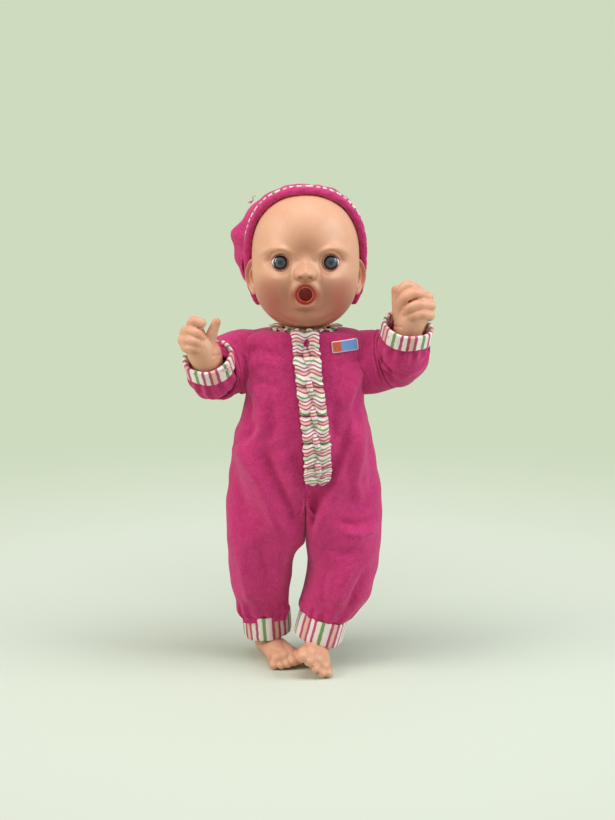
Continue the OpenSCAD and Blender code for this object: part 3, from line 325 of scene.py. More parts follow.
def makeHeadSkin():
    # longitudes and latitudes crowd towards the face; a plain full oval with the relief pushed forward
    columns, rows = head["columns"], head["rows"]
    around = np.linspace(0, 2 * math.pi, columns, endpoint=False)
    climb = np.linspace(-1, 1, rows)
    lon = (around - 0.628 * np.sin(around))[None, :]
    lat = np.radians(90 * climb - 17 * np.sin(math.pi * climb) - 14 * np.cos(math.pi / 2 * climb))[:, None]
    a, b, c = head["halfWidth"], head["halfDepth"], head["halfHeight"]
    z = c * np.sin(lat) + 0 * lon
    x = a * headSlice(z, c) * np.sin(lon)
    inFront = np.cos(lon) > 0.25
    centres = [(side * head["eyeX"], head["eyeUp"], head["lid"] - 0.1, 2.6, 12) for side in (-1, 1)]
    centres.append((0, head["mouthUp"] - 0.4, head["mouthRadius"], 1.9, 12.5))
    gone = np.zeros(x.shape, bool)
    for centre in centres:
        movedX, movedZ, core = opened(x, z, *centre)
        x, z = np.where(inFront, movedX, x), np.where(inFront, movedZ, z)
        gone |= core & inFront
    share = headSlice(z, c)
    plainY = -b * share * np.cos(lon)
    frontY = -b * np.sqrt(np.maximum(share ** 2 - (x / a) ** 2, 0))
    y = np.where(inFront, np.minimum(frontY, 0), plainY)
    forward = soft(np.cos(lon) * 1.6 - 0.1)
    y = y - forward * soft(share * 4 - 0.6) * faceRelief(x, z)
    for side in (-1, 1):  # lids turn in to the eyeball
        rho = np.hypot(x - side * head["eyeX"], z - head["eyeUp"])
        ball = head["eyeY"] - np.sqrt(np.maximum(head["eyeRadius"] ** 2 - rho ** 2, 0)) + 0.5
        inward = (1 - soft((rho - head["lid"] + 0.1) / 1.5)) * inFront
        y = y + (np.maximum(ball, y) - y) * inward
    rho = np.hypot(x, z - head["mouthUp"] + 0.4)  # lips turn in to the mouth
    inward = (1 - soft((rho - head["mouthRadius"]) / 3.4)) * inFront
    y = y + (head["mouthFront"] + 1.8 - y) * inward
    grid = np.stack([x, y, z + head["middle"] - 2.2 * forward * soft((-34 - z) / 14)], -1)
    side, nose, mouth, eye = np.abs(x), z - head["noseUp"], z - head["mouthUp"], z - head["eyeUp"]
    fromEye = side - head["eyeX"]
    # the lips' edge: pointed corners at mid height, a bow with a dip above and a round lower lip
    height = mouth - 0.6
    upper = 8.2 - 0.62 * side + 0.9 * bell(side - 2.6, 1.8) + 0.25 * np.minimum(side, 4)
    lower = 8.4 * np.sqrt(np.maximum(1 - (x / 8.4) ** 2, 0))
    edge = np.where(height > 0, upper * np.sqrt(np.maximum(1 - (x / 9.0) ** 4, 0)), lower)
    lips = soft(edge + 0.5 - np.abs(height)) * soft((9.2 - side) / 1.2) * inFront
    facing = soft((np.cos(lon) + 0.35) / 0.75) * (y < 0)  # colour fades out towards the ears
    blush = (0.42 * bell(np.hypot(side - 28, mouth - 1), 13) + 0.3 * bell(np.hypot(side - 22, mouth + 10), 15)
             + 0.3 * bell(side, 30) * bell(mouth + 24, 9)
             + 0.3 * bell(side - 38, 5) * soft(-mouth / 12)) * facing
    # painted shade: darker at the nostrils, under and round the nose, round the eye openings and in the sockets,
    # at the mouth's corners, under the lower lip, over the lower face and the middle of the forehead
    shade = (0.85 * bell(np.hypot((side - 3.8) / 1.2, nose + 3.6), 1.5)
             + 0.35 * bell(side, 7) * bell(nose + 4.5, 2.2)
             + 0.5 * bell(np.hypot(x / 8.6, (nose + 0.8) / 5.8) - 1.1, 0.13) * soft((5 - nose) / 8)
             + 0.6 * bell(np.hypot(fromEye, eye) - 6.6, 1.3) + 0.7 * bell(fromEye - 7.5, 4) * bell(eye - 3, 4)
             + 0.35 * bell(fromEye, 8) * bell(eye - 7, 1.6)
             + 0.68 * soft((-8 - z) / 14) * soft((46 - side) / 16)
             + 0.5 * bell(side - 9.6, 2.2) * bell(mouth, 5) + 0.45 * bell(x, 9) * bell(mouth + 12, 1.8)
             + 0.55 * bell(x, 14) * bell(eye - 11, 15)) * facing
    there = ~(gone & np.roll(gone, -1, 1))
    keep = there[:-1] | there[1:]
    skin = putGrid("headSkin", grid, wrap=True, keep=keep,
                   masks={"lips": lips.ravel(), "blush": blush.ravel(), "shade": shade.ravel()})
    parts = [skin]
    for side in (-1, 1):
        ear = earGrid(side)
        rim = soft((ear[..., 0] * side - 42) / 5)
        # painted shade on the ear where it turns in towards the head; the outer rim gets a little blush
        masks = {"lips": 0 * rim.ravel(), "blush": 0.3 * rim.ravel(), "shade": 0.4 * (1 - rim).ravel()}
        parts.append(putGrid("ear", ear, wrap=True, flip=side > 0, masks=masks))
    low = nodeBox("head_shell")[0][2]
    profile = np.array([(9.3, 1.5), (9.3, 0.2), (9.7, 0), (16.2, 0), (16.9, 0.7), (17, 2), (17, 14)])
    turn = np.linspace(0, 2 * math.pi, 64, endpoint=False)
    rings = along(profile, np.linspace(0, 1, 40))
    neck = np.stack([rings[:, :1] * np.cos(turn), rings[:, :1] * np.sin(turn), low + rings[:, 1:]
                     + 0 * turn[None, :]], -1)
    masks = {mask: np.zeros(neck.shape[0] * neck.shape[1]) for mask in ("lips", "blush", "shade")}
    parts.append(putGrid("neckRim", neck, wrap=True, masks=masks))
    return mergeDoubles(joined("headSkin", *parts))


def makeMouthCup(name):
    # the throat turned round the mouth's axis: a wall behind the lips, and a pierced floor for the plunger
    deep = nodeBox("mouth_cup")[1][1] - head["mouthFront"]
    bore = head["mouthRadius"]
    profile = [(bore, 0.4), (bore, deep - 1.6), (bore - 0.4, deep - 1.2), (2.6, deep - 1.2), (2.6, deep),
               (bore + 1.5, deep), (bore + 1.5, 0.4), (bore + 0.75, 0.1)]
    corners = np.array(profile + profile[:1])
    rings = np.concatenate([first + (last - first) * np.linspace(0, 1, 8, endpoint=False)[:, None]
                            for first, last in zip(corners, corners[1:])] + [corners[-1:]])
    angle = circle(64)
    radius, depth = rings[:, :1], rings[:, 1:]
    grid = np.stack([radius * np.cos(angle), head["mouthFront"] + depth + 0 * angle,
                     head["middle"] + head["mouthUp"] + radius * np.sin(angle)], -1)
    return mergeDoubles(putGrid(name, grid, wrap=True), closed=True)


# tubes, hands and feet

def tubeGrid(path, radii, side, flat=1.0, columns=24, caps=(True, True)):
    # rings square to the path, radii wide towards side and flat times that across it; a cap is a rounded end
    path, radii = np.asarray(path, float), np.asarray(radii, float) * np.ones(len(path))
    flat = np.asarray(flat, float) * np.ones(len(path))
    run = unit(np.gradient(path, axis=0))
    bow = np.radians(np.arange(90, 0, -15))  # the six rings of a rounded end
    if caps[0]:
        ahead = path[0] - run[0] * (radii[0] * min(flat[0], 1) * np.sin(bow))[:, None]
        path, run = np.vstack([ahead, path]), np.vstack([run[:1].repeat(6, 0), run])
        radii = np.append(radii[0] * np.cos(bow), radii)
        flat = np.append(flat[:1].repeat(6), flat)
    if caps[1]:
        bow = bow[::-1]
        beyond = path[-1] + run[-1] * (radii[-1] * min(flat[-1], 1) * np.sin(bow))[:, None]
        path, run = np.vstack([path, beyond]), np.vstack([run, run[-1:].repeat(6, 0)])
        radii = np.append(radii, radii[-1] * np.cos(bow))
        flat = np.append(flat, flat[-1:].repeat(6))
    across = unit(np.asarray(side, float) - run * (run @ np.asarray(side, float))[:, None])
    square = np.cross(run, across)
    angle = np.linspace(0, 2 * math.pi, columns, endpoint=False)
    return (path[:, None] + radii[:, None, None] * (np.cos(angle)[None, :, None] * across[:, None]
            + (flat[:, None] * np.sin(angle)[None, :])[..., None] * square[:, None]))


def roundBar(joints, radii, side=(0, 0, 1), flat=1.0, steps=14):
    # a smooth finger-like bar through a few joints
    t = np.linspace(0, 1, steps)
    return putGrid("bar", tubeGrid(along(joints, t), along(radii, t), side, flat), wrap=True)


def fleshed(name, bars, relax, voxel=0.62):
    # overlapping closed bars melt into one skin, smoothed relax times
    for bar in bars:
        mergeDoubles(bar, closed=True)
    body = joined(name, *bars)
    melt = body.modifiers.new("melt", "REMESH")
    melt.mode = "VOXEL"
    melt.voxel_size = voxel * mm
    melt.use_smooth_shade = True
    smooth = body.modifiers.new("relax", "SMOOTH")
    smooth.factor = 0.5
    smooth.iterations = relax
    return applyModifiers(body)


def meshPoints(piece):
    points = np.empty(len(piece.data.vertices) * 3, np.float32)
    piece.data.vertices.foreach_get("co", points)
    return points.reshape(-1, 3) / mm


def meshNormals(piece):
    normals = np.empty(len(piece.data.vertices) * 3, np.float32)
    piece.data.vertices.foreach_get("normal", normals)
    return normals.reshape(-1, 3)


def setPoints(piece, points):
    piece.data.vertices.foreach_set("co", (points * mm).astype(np.float32).ravel())
    piece.data.update()


def pressed(piece, dents):
    # each dent is (place, reach, depth): the skin moves in, or out where depth is negative
    points, normals = meshPoints(piece), meshNormals(piece)
    for place, reach, depth in dents:
        points = points - normals * (depth * bell(np.linalg.norm(points - place, axis=1), reach))[:, None]
    setPoints(piece, points)


def creased(piece, lines):
    # each line is (from, to, width, depth): a groove along a straight line near the skin
    points, normals = meshPoints(piece), meshNormals(piece)
    for first, last, width, depth in lines:
        first, last = np.asarray(first, float), np.asarray(last, float)
        run = last - first
        t = np.clip((points - first) @ run / (run @ run), 0, 1)
        away = np.linalg.norm(points - first - t[:, None] * run, axis=1)
        points = points - normals * (depth * bell(away, width))[:, None]
    setPoints(piece, points)


def paint(piece, mask, values):
    piece.data.attributes.new(mask, "FLOAT", "POINT").data.foreach_set("value", values.astype(np.float32))


def painted(piece, nails, joints):
    # nails are left without blush, the joints of fingers and toes get a redder mask
    points = meshPoints(piece)
    blush = 0.12 * np.ones(len(points))
    for place, reach in joints:
        blush = np.maximum(blush, 0.6 * bell(np.linalg.norm(points - place, axis=1), reach))
    for place in nails:
        blush = blush * (1 - bell(np.linalg.norm(points - place, axis=1), 2))
    paint(piece, "lips", np.zeros(len(points)))
    paint(piece, "blush", blush)
    paint(piece, "shade", np.zeros(len(points)))


shoulder = {1: jointAt("left_shoulder"), -1: jointAt("right_shoulder")}
bothHands = {  # places out from the shoulder face or from the wrist, with x outwards from the body
    1: {
        "bone": [(0, 0, 0), (8, 0, 0), (22, -3, 1), (34, -8, 2), (42, -14, 7), (44, -21, 17), (44, -27, 28),
                 (44.5, -29.5, 34)],
        "thick": [14, 15.5, 15, 14.5, 14, 13, 11.5, 11.5],
        "fingers": [[(8, 4, 29), (0, -3, 34.5), (-7, -5, 30), (-8, -2, 23)],
                    [(15, 1, 25), (4.5, -8, 29), (-4, -10, 25), (-6, -5, 18)],
                    [(17, -3, 18.5), (7.5, -12, 20.5), (0, -13, 17.5), (-3, -8, 13)],
                    [(16.5, -5, 11), (9.5, -12.5, 13), (2.5, -13, 11), (-0.5, -9, 8.5)]],
        "fingerThick": [4.6, 4.3, 4.1, 3.7],
        "thumb": [(-5, -2, 6), (-8, -3, 15), (-9.5, -4, 24), (-10.5, -5, 31.5)],
        "thumbThick": [6.5, 5, 4.1, 3.4],
        "palm": [(0, 0, -2), (2, -2, 6), (5, -2, 13), (6, 0, 20), (4, 1, 26)],
        "palmThick": [11.5, 12, 12, 11, 7.5], "forearm": (0.15, -0.42, 0.89), "drop": -3,
    },
    -1: {
        "bone": [(0, 0, 0), (8, 0, 0), (22, -5, -2), (34, -12, -6), (40, -19, -5), (41, -25, 0),
                 (40.5, -30.5, 7), (41.5, -33, 12)],
        "thick": [14, 15.5, 15, 14.5, 14, 13, 11.5, 11.5],
        "fingers": [[(10.5, -3, 19), (11.5, -6, 26.5), (8.5, -10, 30), (2.5, -11.5, 28.5)],
                    [(16.5, -2, 20), (12, -11, 22.5), (5.5, -13.5, 20), (2.5, -9.5, 15.5)],
                    [(18, -4, 14), (13.5, -13.5, 15.5), (7, -15, 13.5), (4, -11, 11)],
                    [(16, -6, 9), (14, -14, 9), (8.5, -15.5, 8.5), (5.5, -12, 7.5)]],
        "fingerThick": [4.5, 4.3, 4.1, 3.7],
        "thumb": [(-1, -3, 5), (-3, -5, 14), (-5.5, -7, 22), (-8.5, -8, 29)],
        "thumbThick": [6.5, 5.2, 4.2, 3.5],
        "palm": [(0, 0, -3), (2.5, -2, 2), (5, -4, 8), (8, -4, 14), (8.5, -3, 19)],
        "palmThick": [11.5, 12, 12, 11, 8], "forearm": (0.18, -0.54, 0.82), "drop": -3.5,
    },
}


def makeArm(side, name):
    hand = bothHands[side]
    face = shoulder[side] + [side, 0, 0]
    outward = np.array([side, 1, 1])
    bone = face + np.array(hand["bone"], float) * outward
    wrist = bone[-1] + [0, 0, hand["drop"]]
    t = np.linspace(0, 1, 60)
    arm = putGrid("bar", tubeGrid(along(bone, t), along(hand["thick"], t), (0, 0.9, 0.44), columns=48),
                  wrap=True)
    bars = [arm, roundBar(wrist + np.array(hand["palm"], float) * outward, hand["palmThick"], (0, 1, 0),
                          steps=20)]
    tips = []
    for joints, thick in zip(hand["fingers"], hand["fingerThick"]):
        places = wrist + np.array(joints, float) * outward
        bars.append(roundBar(places, [thick, thick * 0.98, thick * 0.92, thick * 0.8], steps=20))
        bars.append(roundBar([places[0], (places[0] + wrist + [side * 4, 0, 10]) / 2],
                             [thick + 0.8, thick + 3]))
        tips.append((places[-2], places[1]))
    thumb = wrist + np.array(hand["thumb"], float) * outward
    bars.append(roundBar(thumb, hand["thumbThick"], steps=20))
    skin = fleshed(name, bars, relax=7)
    pressed(skin, [(thumb[-1] + [0, -3.2, 1.2], 1.7, 0.35), (thumb[2] + [0, -4.2, 0], 1.2, 0.3)])
    ring = [wrist + np.array([11.5 * math.cos(a), 11.5 * math.sin(a), 2.5]) for a in np.linspace(0, 6.28, 13)]
    creased(skin, [(first, last, 1.0, 0.5) for first, last in zip(ring, ring[1:])])
    painted(skin, [], [(spot, 4) for pair in tips for spot in pair] + [(thumb[-1], 4)])
    return skin


bothFeet = {  # leg bones from the hip down, with x outwards from the body's middle
    1: {
        "bone": [(31, 0, 146), (31, -0.5, 130), (32, -1, 117), (32, -4, 82), (21, -4, 51), (13.5, -3, 30),
                 (10, -1, 15)],
        "thick": [19, 20, 18.5, 16.5, 13, 11.5, 11],
        "heel": (10, 1, 10.5), "turn": -3, "lift": 15,
    },
    -1: {
        "bone": [(31, 0, 146), (31, 1, 130), (33, 2, 117), (38, 7, 82), (36.5, 12, 51), (34, 15, 30),
                 (33.5, 18.5, 15)],
        "thick": [19, 20, 18.5, 16.5, 13, 11.5, 11],
        "heel": (33, 20.5, 10.5), "turn": -25, "lift": 3,
    },
}
footSize = {"length": 50, "toe": 5.0}


def makeLeg(side, name):
    leg = bothFeet[side]
    outward = np.array([side, 1, 1])
    t = np.linspace(0, 1, 70)
    path = along(leg["bone"], t) * outward
    # slim where the trouser leg has to fold
    thick = along(leg["thick"], t) * (1 - 0.58 * soft((path[:, 2] - 68) / 28))
    bars = [putGrid("bar", tubeGrid(path, thick, (1, 0, 0), 1.04, columns=48), wrap=True)]
    turn = math.radians(leg["turn"])
    heel = np.array(leg["heel"], float)
    lift, long = leg["lift"], footSize["length"]

    def onFoot(x, y, z):  # from the heel: x outwards, y forward is negative
        spot = np.array([x * math.cos(turn) - y * math.sin(turn), x * math.sin(turn) + y * math.cos(turn),
                         z - heel[2]])
        return (heel + spot) * outward

    def raised(x, y):  # how far the inner edge stands off the floor
        return lift * soft((9 - x) / 20) * soft(-y / 26)

    sole = [(0, 2, 10.5), (0, -10, 10), (0.8, -20, 9.6), (1.6, -30, 8.2)]
    places = [onFoot(x, y, z + 0.55 * raised(x, y)) for x, y, z in sole]
    bars.append(roundBar(places, [10.5, 10.5, 10.3, 8.6], (1, 0, 0.3 * side), 0.98, 24))
    for x, thick in ((-5.4, 7.2), (0.4, 7.4), (6.2, 6.6)):  # balls of the foot
        places = [onFoot(x * 0.5, -16, 9.5 + raised(x * 0.5, -16)),
                  onFoot(x, -long + 15, 7.2 + raised(x, -long + 15))]
        bars.append(roundBar(places, [thick + 1.2, thick], (1, 0, 0)))
    nails, joints = [], []
    for i in range(5):
        share = i / 4
        thick = footSize["toe"] - 1.6 * float(soft(share * 1.7))
        x = -9.8 + 20.4 * share
        back, front = -long + 17 + 3 * share, -long + thick + 0.6 + 6.8 * share ** 2
        low = thick + 0.2
        places = [onFoot(x * 0.85, back, low + 1.6 + raised(x, back)),
                  onFoot(x, (back + front) / 2 - 1, low + 1.8 + raised(x, back)),
                  onFoot(x * 1.02, front, low + raised(x, front))]
        bars.append(roundBar(places, [thick, thick * 0.96, thick], (1, 0, 0)))
        nails.append(onFoot(x * 1.02, front - thick * 0.45, low + thick * 0.86 + raised(x, front)))
        joints.append(onFoot(x, back - 4, low + thick + raised(x, back)))
    skin = fleshed(name, bars, relax=4)
    pressed(skin, [(nail, 1.9, 0.4) for nail in nails])
    points = meshPoints(skin)
    points[:, 2] = np.where(points[:, 2] < 0.6, np.maximum(points[:, 2], 0), points[:, 2])
    setPoints(skin, points)
    painted(skin, nails, [(joint, 4.5) for joint in joints] + [(onFoot(0, 8, 8), 8)])
    return skin


# romper

cloth = {"thickness": 1.3, "seamDepth": 0.7}
# rows from the neck to the ankle: height, inner x, middle x, outer x, front, back, squareness, lean of the
# row
yokeRows = [
    (284.8, 0, 0, 24.6, 24.6, 24.6, 2.0, 0), (284.2, 0, 0, 35, 27, 26.5, 2.4, 0),
    (281.5, 0, 0, 44.5, 29, 28.5, 3.6, 0), (275, 0, 0, 47.2, 30.8, 29.8, 4.4, 0)]
romperHalves = {
    1: {"rows": yokeRows + [
        (257, 0, 0, 47.4, 34.6, 32.4, 5, 0), (240, 0, 0, 47.4, 38.2, 35.2, 4.5, 0),
        (227, 0, 0, 47.8, 40.2, 36.8, 3.6, 0), (213, 0, 0, 50.5, 41.6, 37.8, 2.9, 0),
        (198, 0, 0, 54, 42, 38.4, 2.6, 0), (184, 0, 0, 57, 40.6, 38.4, 2.5, 0),
        (168, 0, 0, 60, 38.8, 38.4, 2.4, 0), (152, 0, 0, 62, 37.8, 38, 2.3, 0),
        (138, 0.05, 4, 62.8, 36.6, 37, 2.3, 0), (124, 0.1, 20, 63, 35.6, 35.6, 2.3, 0),
        (112, 0.8, 30, 62.6, 34.6, 33.6, 2.2, 0), (98, 1.5, 31, 61.8, 33.6, 31.6, 2.2, 0),
        (81, 0.6, 29.5, 59.5, 33, 29.5, 2.1, 0.04), (65, -1.6, 26, 55, 31, 26.5, 2.1, 0.12),
        (53, -4, 19.5, 44.5, 26.4, 20.4, 2.0, 0.24), (45, -6, 16.3, 38, 24, 18, 2.0, 0.27),
        (40.5, -4.6, 15, 33.6, 21.6, 15.6, 2.0, 0.27), (36, -4.2, 13.9, 32, 21, 15, 2.0, 0.27)],
        "gathers": 13},
    -1: {"rows": yokeRows + [
        (257, 0, 0, 47.6, 34.6, 32.4, 5, 0), (240, 0, 0, 48.2, 38.2, 35.2, 4.3, 0),
        (227, 0, 0, 50.6, 40.2, 36.8, 3.4, 0), (213, 0, 0, 54.2, 41.6, 37.8, 2.8, 0),
        (198, 0, 0, 58, 42, 38.4, 2.6, 0), (184, 0, 0, 59.5, 40.6, 38.4, 2.5, 0),
        (168, 0, 0, 63, 38.8, 38.4, 2.4, 0), (152, 0, 0, 65, 37.6, 38, 2.3, 0),
        (138, 0.05, 4, 66, 35.4, 37.4, 2.3, 0), (124, 0.8, 24, 66, 33.4, 36.6, 2.3, 0),
        (112, 7, 36, 66, 31.4, 36, 2.2, 0), (98, 10.5, 38, 65.2, 28, 36.6, 2.2, 0),
        (81, 11.5, 38, 64, 23.6, 38, 2.1, 0), (65, 13.5, 37.4, 61.6, 18.4, 39.6, 2.1, 0.02),
        (53, 14, 35.5, 57.5, 11, 39.4, 2.0, 0.06), (45, 13.6, 35, 56.4, 7.6, 36.4, 2.0, 0.07),
        (40.5, 15.6, 34.4, 53, 4.8, 33.4, 2.0, 0.07), (36, 16.2, 34.2, 52.2, 4.2, 32.8, 2.0, 0.07)],
        "gathers": 14},
}
romperSeat = {"crotchTop": 151.5, "crotchLow": 120.5, "halfDepth": 34, "armhole": 24.5, "rows": 230,
              "columns": 210}
frontFolds = [
    # each is its line of (x, height), its width and its lift; a fourth number is the reach of a step, which
    # stands up on the left-hand side of its line instead of along it
    ([(-60, 205), (-46, 182), (-33, 158), (-24, 134), (-19, 110)], 8, 5.6),
    ([(-64, 184), (-57, 158), (-46, 126)], 7, -3.6),
    ([(-36, 196), (-24, 168), (-13, 142), (-8, 122)], 5.5, -5.0),
    ([(-20, 192), (-12, 172), (-4, 152)], 6, 2.6),
    ([(4, 116), (10, 138), (20, 160), (32, 190), (40, 228)], 2.2, -4.2, 12),
    ([(6, 160), (3, 142), (1, 124)], 7, -4.2),
    ([(46, 214), (43, 186), (41, 164), (45, 142)], 4, 3.2),
    ([(36, 206), (34, 184), (31, 166)], 3.6, -2.2),
    ([(54, 204), (54, 176), (56, 146)], 4.5, -3.0),
    ([(-40, 216), (-44, 204), (-52, 195), (-66, 190)], 4, -3.6),
    ([(-36, 226), (-34, 210), (-41, 198)], 4.5, 2.4),
    ([(-28, 232), (-25, 212), (-28, 196)], 4, -2.2),
    ([(24, 132), (40, 128), (56, 131)], 3, -2.2),
    ([(28, 124), (46, 119), (62, 121)], 3.5, 2.2),
    ([(12, 110), (30, 104), (50, 108)], 4, -2.0),
    ([(42, 98), (30, 78), (26, 58)], 4, 2.6),
    ([(52, 92), (40, 70), (34, 52)], 3.4, -2.8),
    ([(18, 92), (14, 72), (16, 54)], 4, -2.0),
    ([(-22, 118), (-20, 96), (-26, 70)], 5, 2.4),
    ([(-40, 116), (-33, 88), (-36, 60)], 5, -2.8),
    ([(-54, 104), (-50, 76), (-46, 52)], 4, 2.2),
    ([(-48, 268), (-36, 272), (-20, 266)], 2.8, -1.6),
    ([(-48, 256), (-36, 262), (-18, 258)], 3.4, 1.4),
    ([(-47, 248), (-38, 236), (-30, 218)], 4, 2.2),
    ([(-44, 240), (-34, 246), (-20, 240)], 3, -1.6),
    ([(48, 256), (38, 242), (33, 222)], 4, 2.2),
    ([(47, 262), (34, 262), (20, 256)], 3.2, -1.4),
    ([(47, 242), (40, 227), (42, 206)], 3, -2.4),
    ([(-48, 238), (-44, 224), (-47, 208)], 3, -2.4),
    ([(24, 236), (21, 216), (25, 198)], 4, -1.8),
]
backFolds = [
    ([(-48, 196), (-26, 176), (-6, 146)], 6, -2.6),
    ([(48, 194), (27, 172), (7, 146)], 6, -2.4),
    ([(-34, 190), (-14, 168)], 6, 1.8),
    ([(36, 186), (15, 166)], 6, 1.8),
    ([(-58, 150), (-34, 138), (-14, 128)], 4, -1.8),
    ([(58, 148), (34, 136), (14, 126)], 4, -1.8),
    ([(-44, 118), (-38, 90), (-42, 62)], 5, 1.8),
    ([(36, 118), (28, 88), (22, 60)], 5, 1.8),
    ([(-47, 262), (-34, 250), (-20, 246)], 4, 1.2),
    ([(47, 262), (34, 249), (20, 246)], 4, 1.2),
    ([(-30, 214), (0, 208), (30, 214)], 5, -1.2),
]


def foldHeight(x, z, line, width, lift, reach=None):
    # nearest distance to the fold's line, with its sign, then a bell across it; the ends fade out
    points = np.array(line, float)
    nearest, signed, where = np.full(x.shape, 1e6), np.zeros(x.shape), np.zeros(x.shape)
    for i, (first, last) in enumerate(zip(points, points[1:])):
        run = last - first
        t = ((x - first[0]) * run[0] + (z - first[1]) * run[1]) / (run @ run)
        held = np.clip(t, 0, 1)
        away = np.hypot(x - first[0] - held * run[0], z - first[1] - held * run[1])
        side = np.sign(run[0] * (z - first[1]) - run[1] * (x - first[0]))
        closer = away < nearest
        nearest, signed = np.where(closer, away, nearest), np.where(closer, away * side, signed)
        where = np.where(closer, (i + held) / (len(points) - 1), where)
    fade = soft(where / 0.3 + 0.15) * soft((1 - where) / 0.3 + 0.15)
    if reach:
        return lift * fade * np.tanh(signed / width) * bell(signed, reach)
    return lift * fade * bell(nearest, width)


def halfRomper(side):
    # a row is half an oval on the outside and half a narrower one on the inside, sharing its middle; above
    # the
    # crotch the inside half is left open, and just below it the inside hangs down as the crotch seam
    half, seat = romperHalves[side], romperSeat
    t = np.linspace(0, 1, seat["rows"])
    rows = along(half["rows"], t)[:, :, None]
    z, inner, middle, outer, front, back, square, lean = (rows[:, k] for k in range(8))
    angle = np.linspace(-math.pi / 2, 1.5 * math.pi, seat["columns"], endpoint=False)[None, :]
    reach = np.where(np.cos(angle) > 0, outer - middle, middle - inner)
    depth = np.where(np.sin(angle) > 0, back, front)
    corner = np.where(np.cos(angle) > 0, square, 2 + 1.6 * soft((z - 90) / 40))
    x = middle + reach * signedPower(np.cos(angle), 2 / corner)
    y = depth * signedPower(np.sin(angle), 2 / corner)
    inside = soft(-np.cos(angle) * 3)
    slung = 1 - np.clip(np.abs(y) / seat["halfDepth"], 0, 1) ** 2.6
    hang = (seat["crotchTop"] - seat["crotchLow"]) * slung
    share = np.clip((z - 62) / (seat["crotchTop"] - 62), 0, 1) ** 1.5
    z = z - inside * share * hang * (z < seat["crotchTop"] + 3) - lean * (x - middle)
    grid = np.stack([x * side, y, z + 0 * x], -1)
    normals = gridNormals(grid, wrap=True) * -side
    lift = 0 * x
    gather = soft((62 - z) / 16) * soft((z - 37) / 5)
    lift = lift + 0.9 * gather * np.sin(angle * half["gathers"] + 1.3 * np.sin(3 * angle))
    lift = lift + 0.7 * ripple(grid * [1, 1, 0.8], 11 + side, 42) + 0.28 * ripple(grid, 23 + side, 15)
    atFront, atBack = soft(-grid[..., 1] / 14 + 0.1), soft(grid[..., 1] / 14 + 0.1)
    for folds, facing in ((frontFolds, atFront), (backFolds, atBack)):
        for fold in folds:
            lift = lift + facing * foldHeight(grid[..., 0], grid[..., 2], *fold)
    # the side seam is a groove down the outside
    sideSeam = bell(np.degrees(angle) + 2, 1.3) * soft((282 - z) / 6)
    lift = lift - cloth["seamDepth"] * sideSeam
    seamFade = soft(np.abs(x) / 5)
    lift = lift * np.where(inside > 0.5, seamFade, 0.35 + 0.65 * seamFade) * soft((284.5 - z) / 5)
    grid = grid + normals * lift[..., None]
    grid[..., 0] = np.where(np.abs(x) < 0.05, side * 0.02, side * np.maximum(grid[..., 0] * side, inner))
    opening = (z[:, :1] > seat["crotchTop"]) & (np.cos(angle) < 1e-6)
    arm = np.hypot(y, grid[..., 2] - shoulder[side][2]) < seat["armhole"]
    return grid, opening | (arm & (np.cos(angle) > 0.5))


def makeRomper(side, name):
    grid, gone = halfRomper(side)
    away = gone & np.roll(gone, -1, 1)
    return putGrid(name, grid, wrap=True, keep=~(away[:-1] | away[1:]), flip=side > 0, uvSize=(3, 5))


# sleeves and cuffs

sleeve = {"start": (6.2, 0, 0), "armhole": 25.9, "wrist": 18.4, "rows": 170, "columns": 150, "elbow": 0.55,
          "bendAt": {1: (40, -13, 8), -1: (35.5, -15, -4)}}
# profile of a turned-back band: distance from the sleeve's radius and share of the band's length
cuffShape = {
    "profile": [(-1.2, 0.25), (-1.4, 0.6), (-1.2, 0.88), (-0.3, 1.0), (1.2, 1.02), (2.2, 0.95),
                (2.5, 0.7), (2.5, 0.35), (2.6, 0.08), (2.0, 0.0), (0.9, 0.06), (0.4, 0.3)],
    "wristBand": 12.5, "wristRadius": 18.2, "setBack": {1: 12.0, -1: 16.0}, "ankleBand": 21,
    "ankleRadius": 18.2, "stripe": 22}
ankles = {1: ((9.7, -3, 20.5), (15.5, -3, 42)), -1: ((33, 17.5, 21), (34.5, 14.5, 42))}


def armPath(side):
    # the sleeve's centre line from the armhole to past the wrist, and its radius
    hand = bothHands[side]
    outward = np.array([side, 1, 1])
    bone = np.array(hand["bone"], float)
    forearm = unit(hand["forearm"])
    cuff = bone[-1] - cuffShape["setBack"][side] * forearm
    path = np.vstack([[sleeve["start"]], [[19, -2, 1.2]], [bone[3] + [-3, 2, 2]], [sleeve["bendAt"][side]],
                      [cuff - 6.5 * forearm], [cuff + 3.5 * forearm]])
    radii = [sleeve["armhole"], 25.4, 23.8, 22.2, 20.4, sleeve["wrist"] - 1.4]
    return shoulder[side] + [side, 0, 0] + path * outward, np.array(radii)


def cuffPlace(side):
    # where the turned-back cuff starts on the forearm, and the forearm's direction
    hand, outward = bothHands[side], np.array([side, 1, 1])
    forearm = unit(hand["forearm"]) * outward
    wrist = shoulder[side] + [side, 0, 0] + np.array(hand["bone"][-1]) * outward
    return wrist - forearm * cuffShape["setBack"][side], forearm


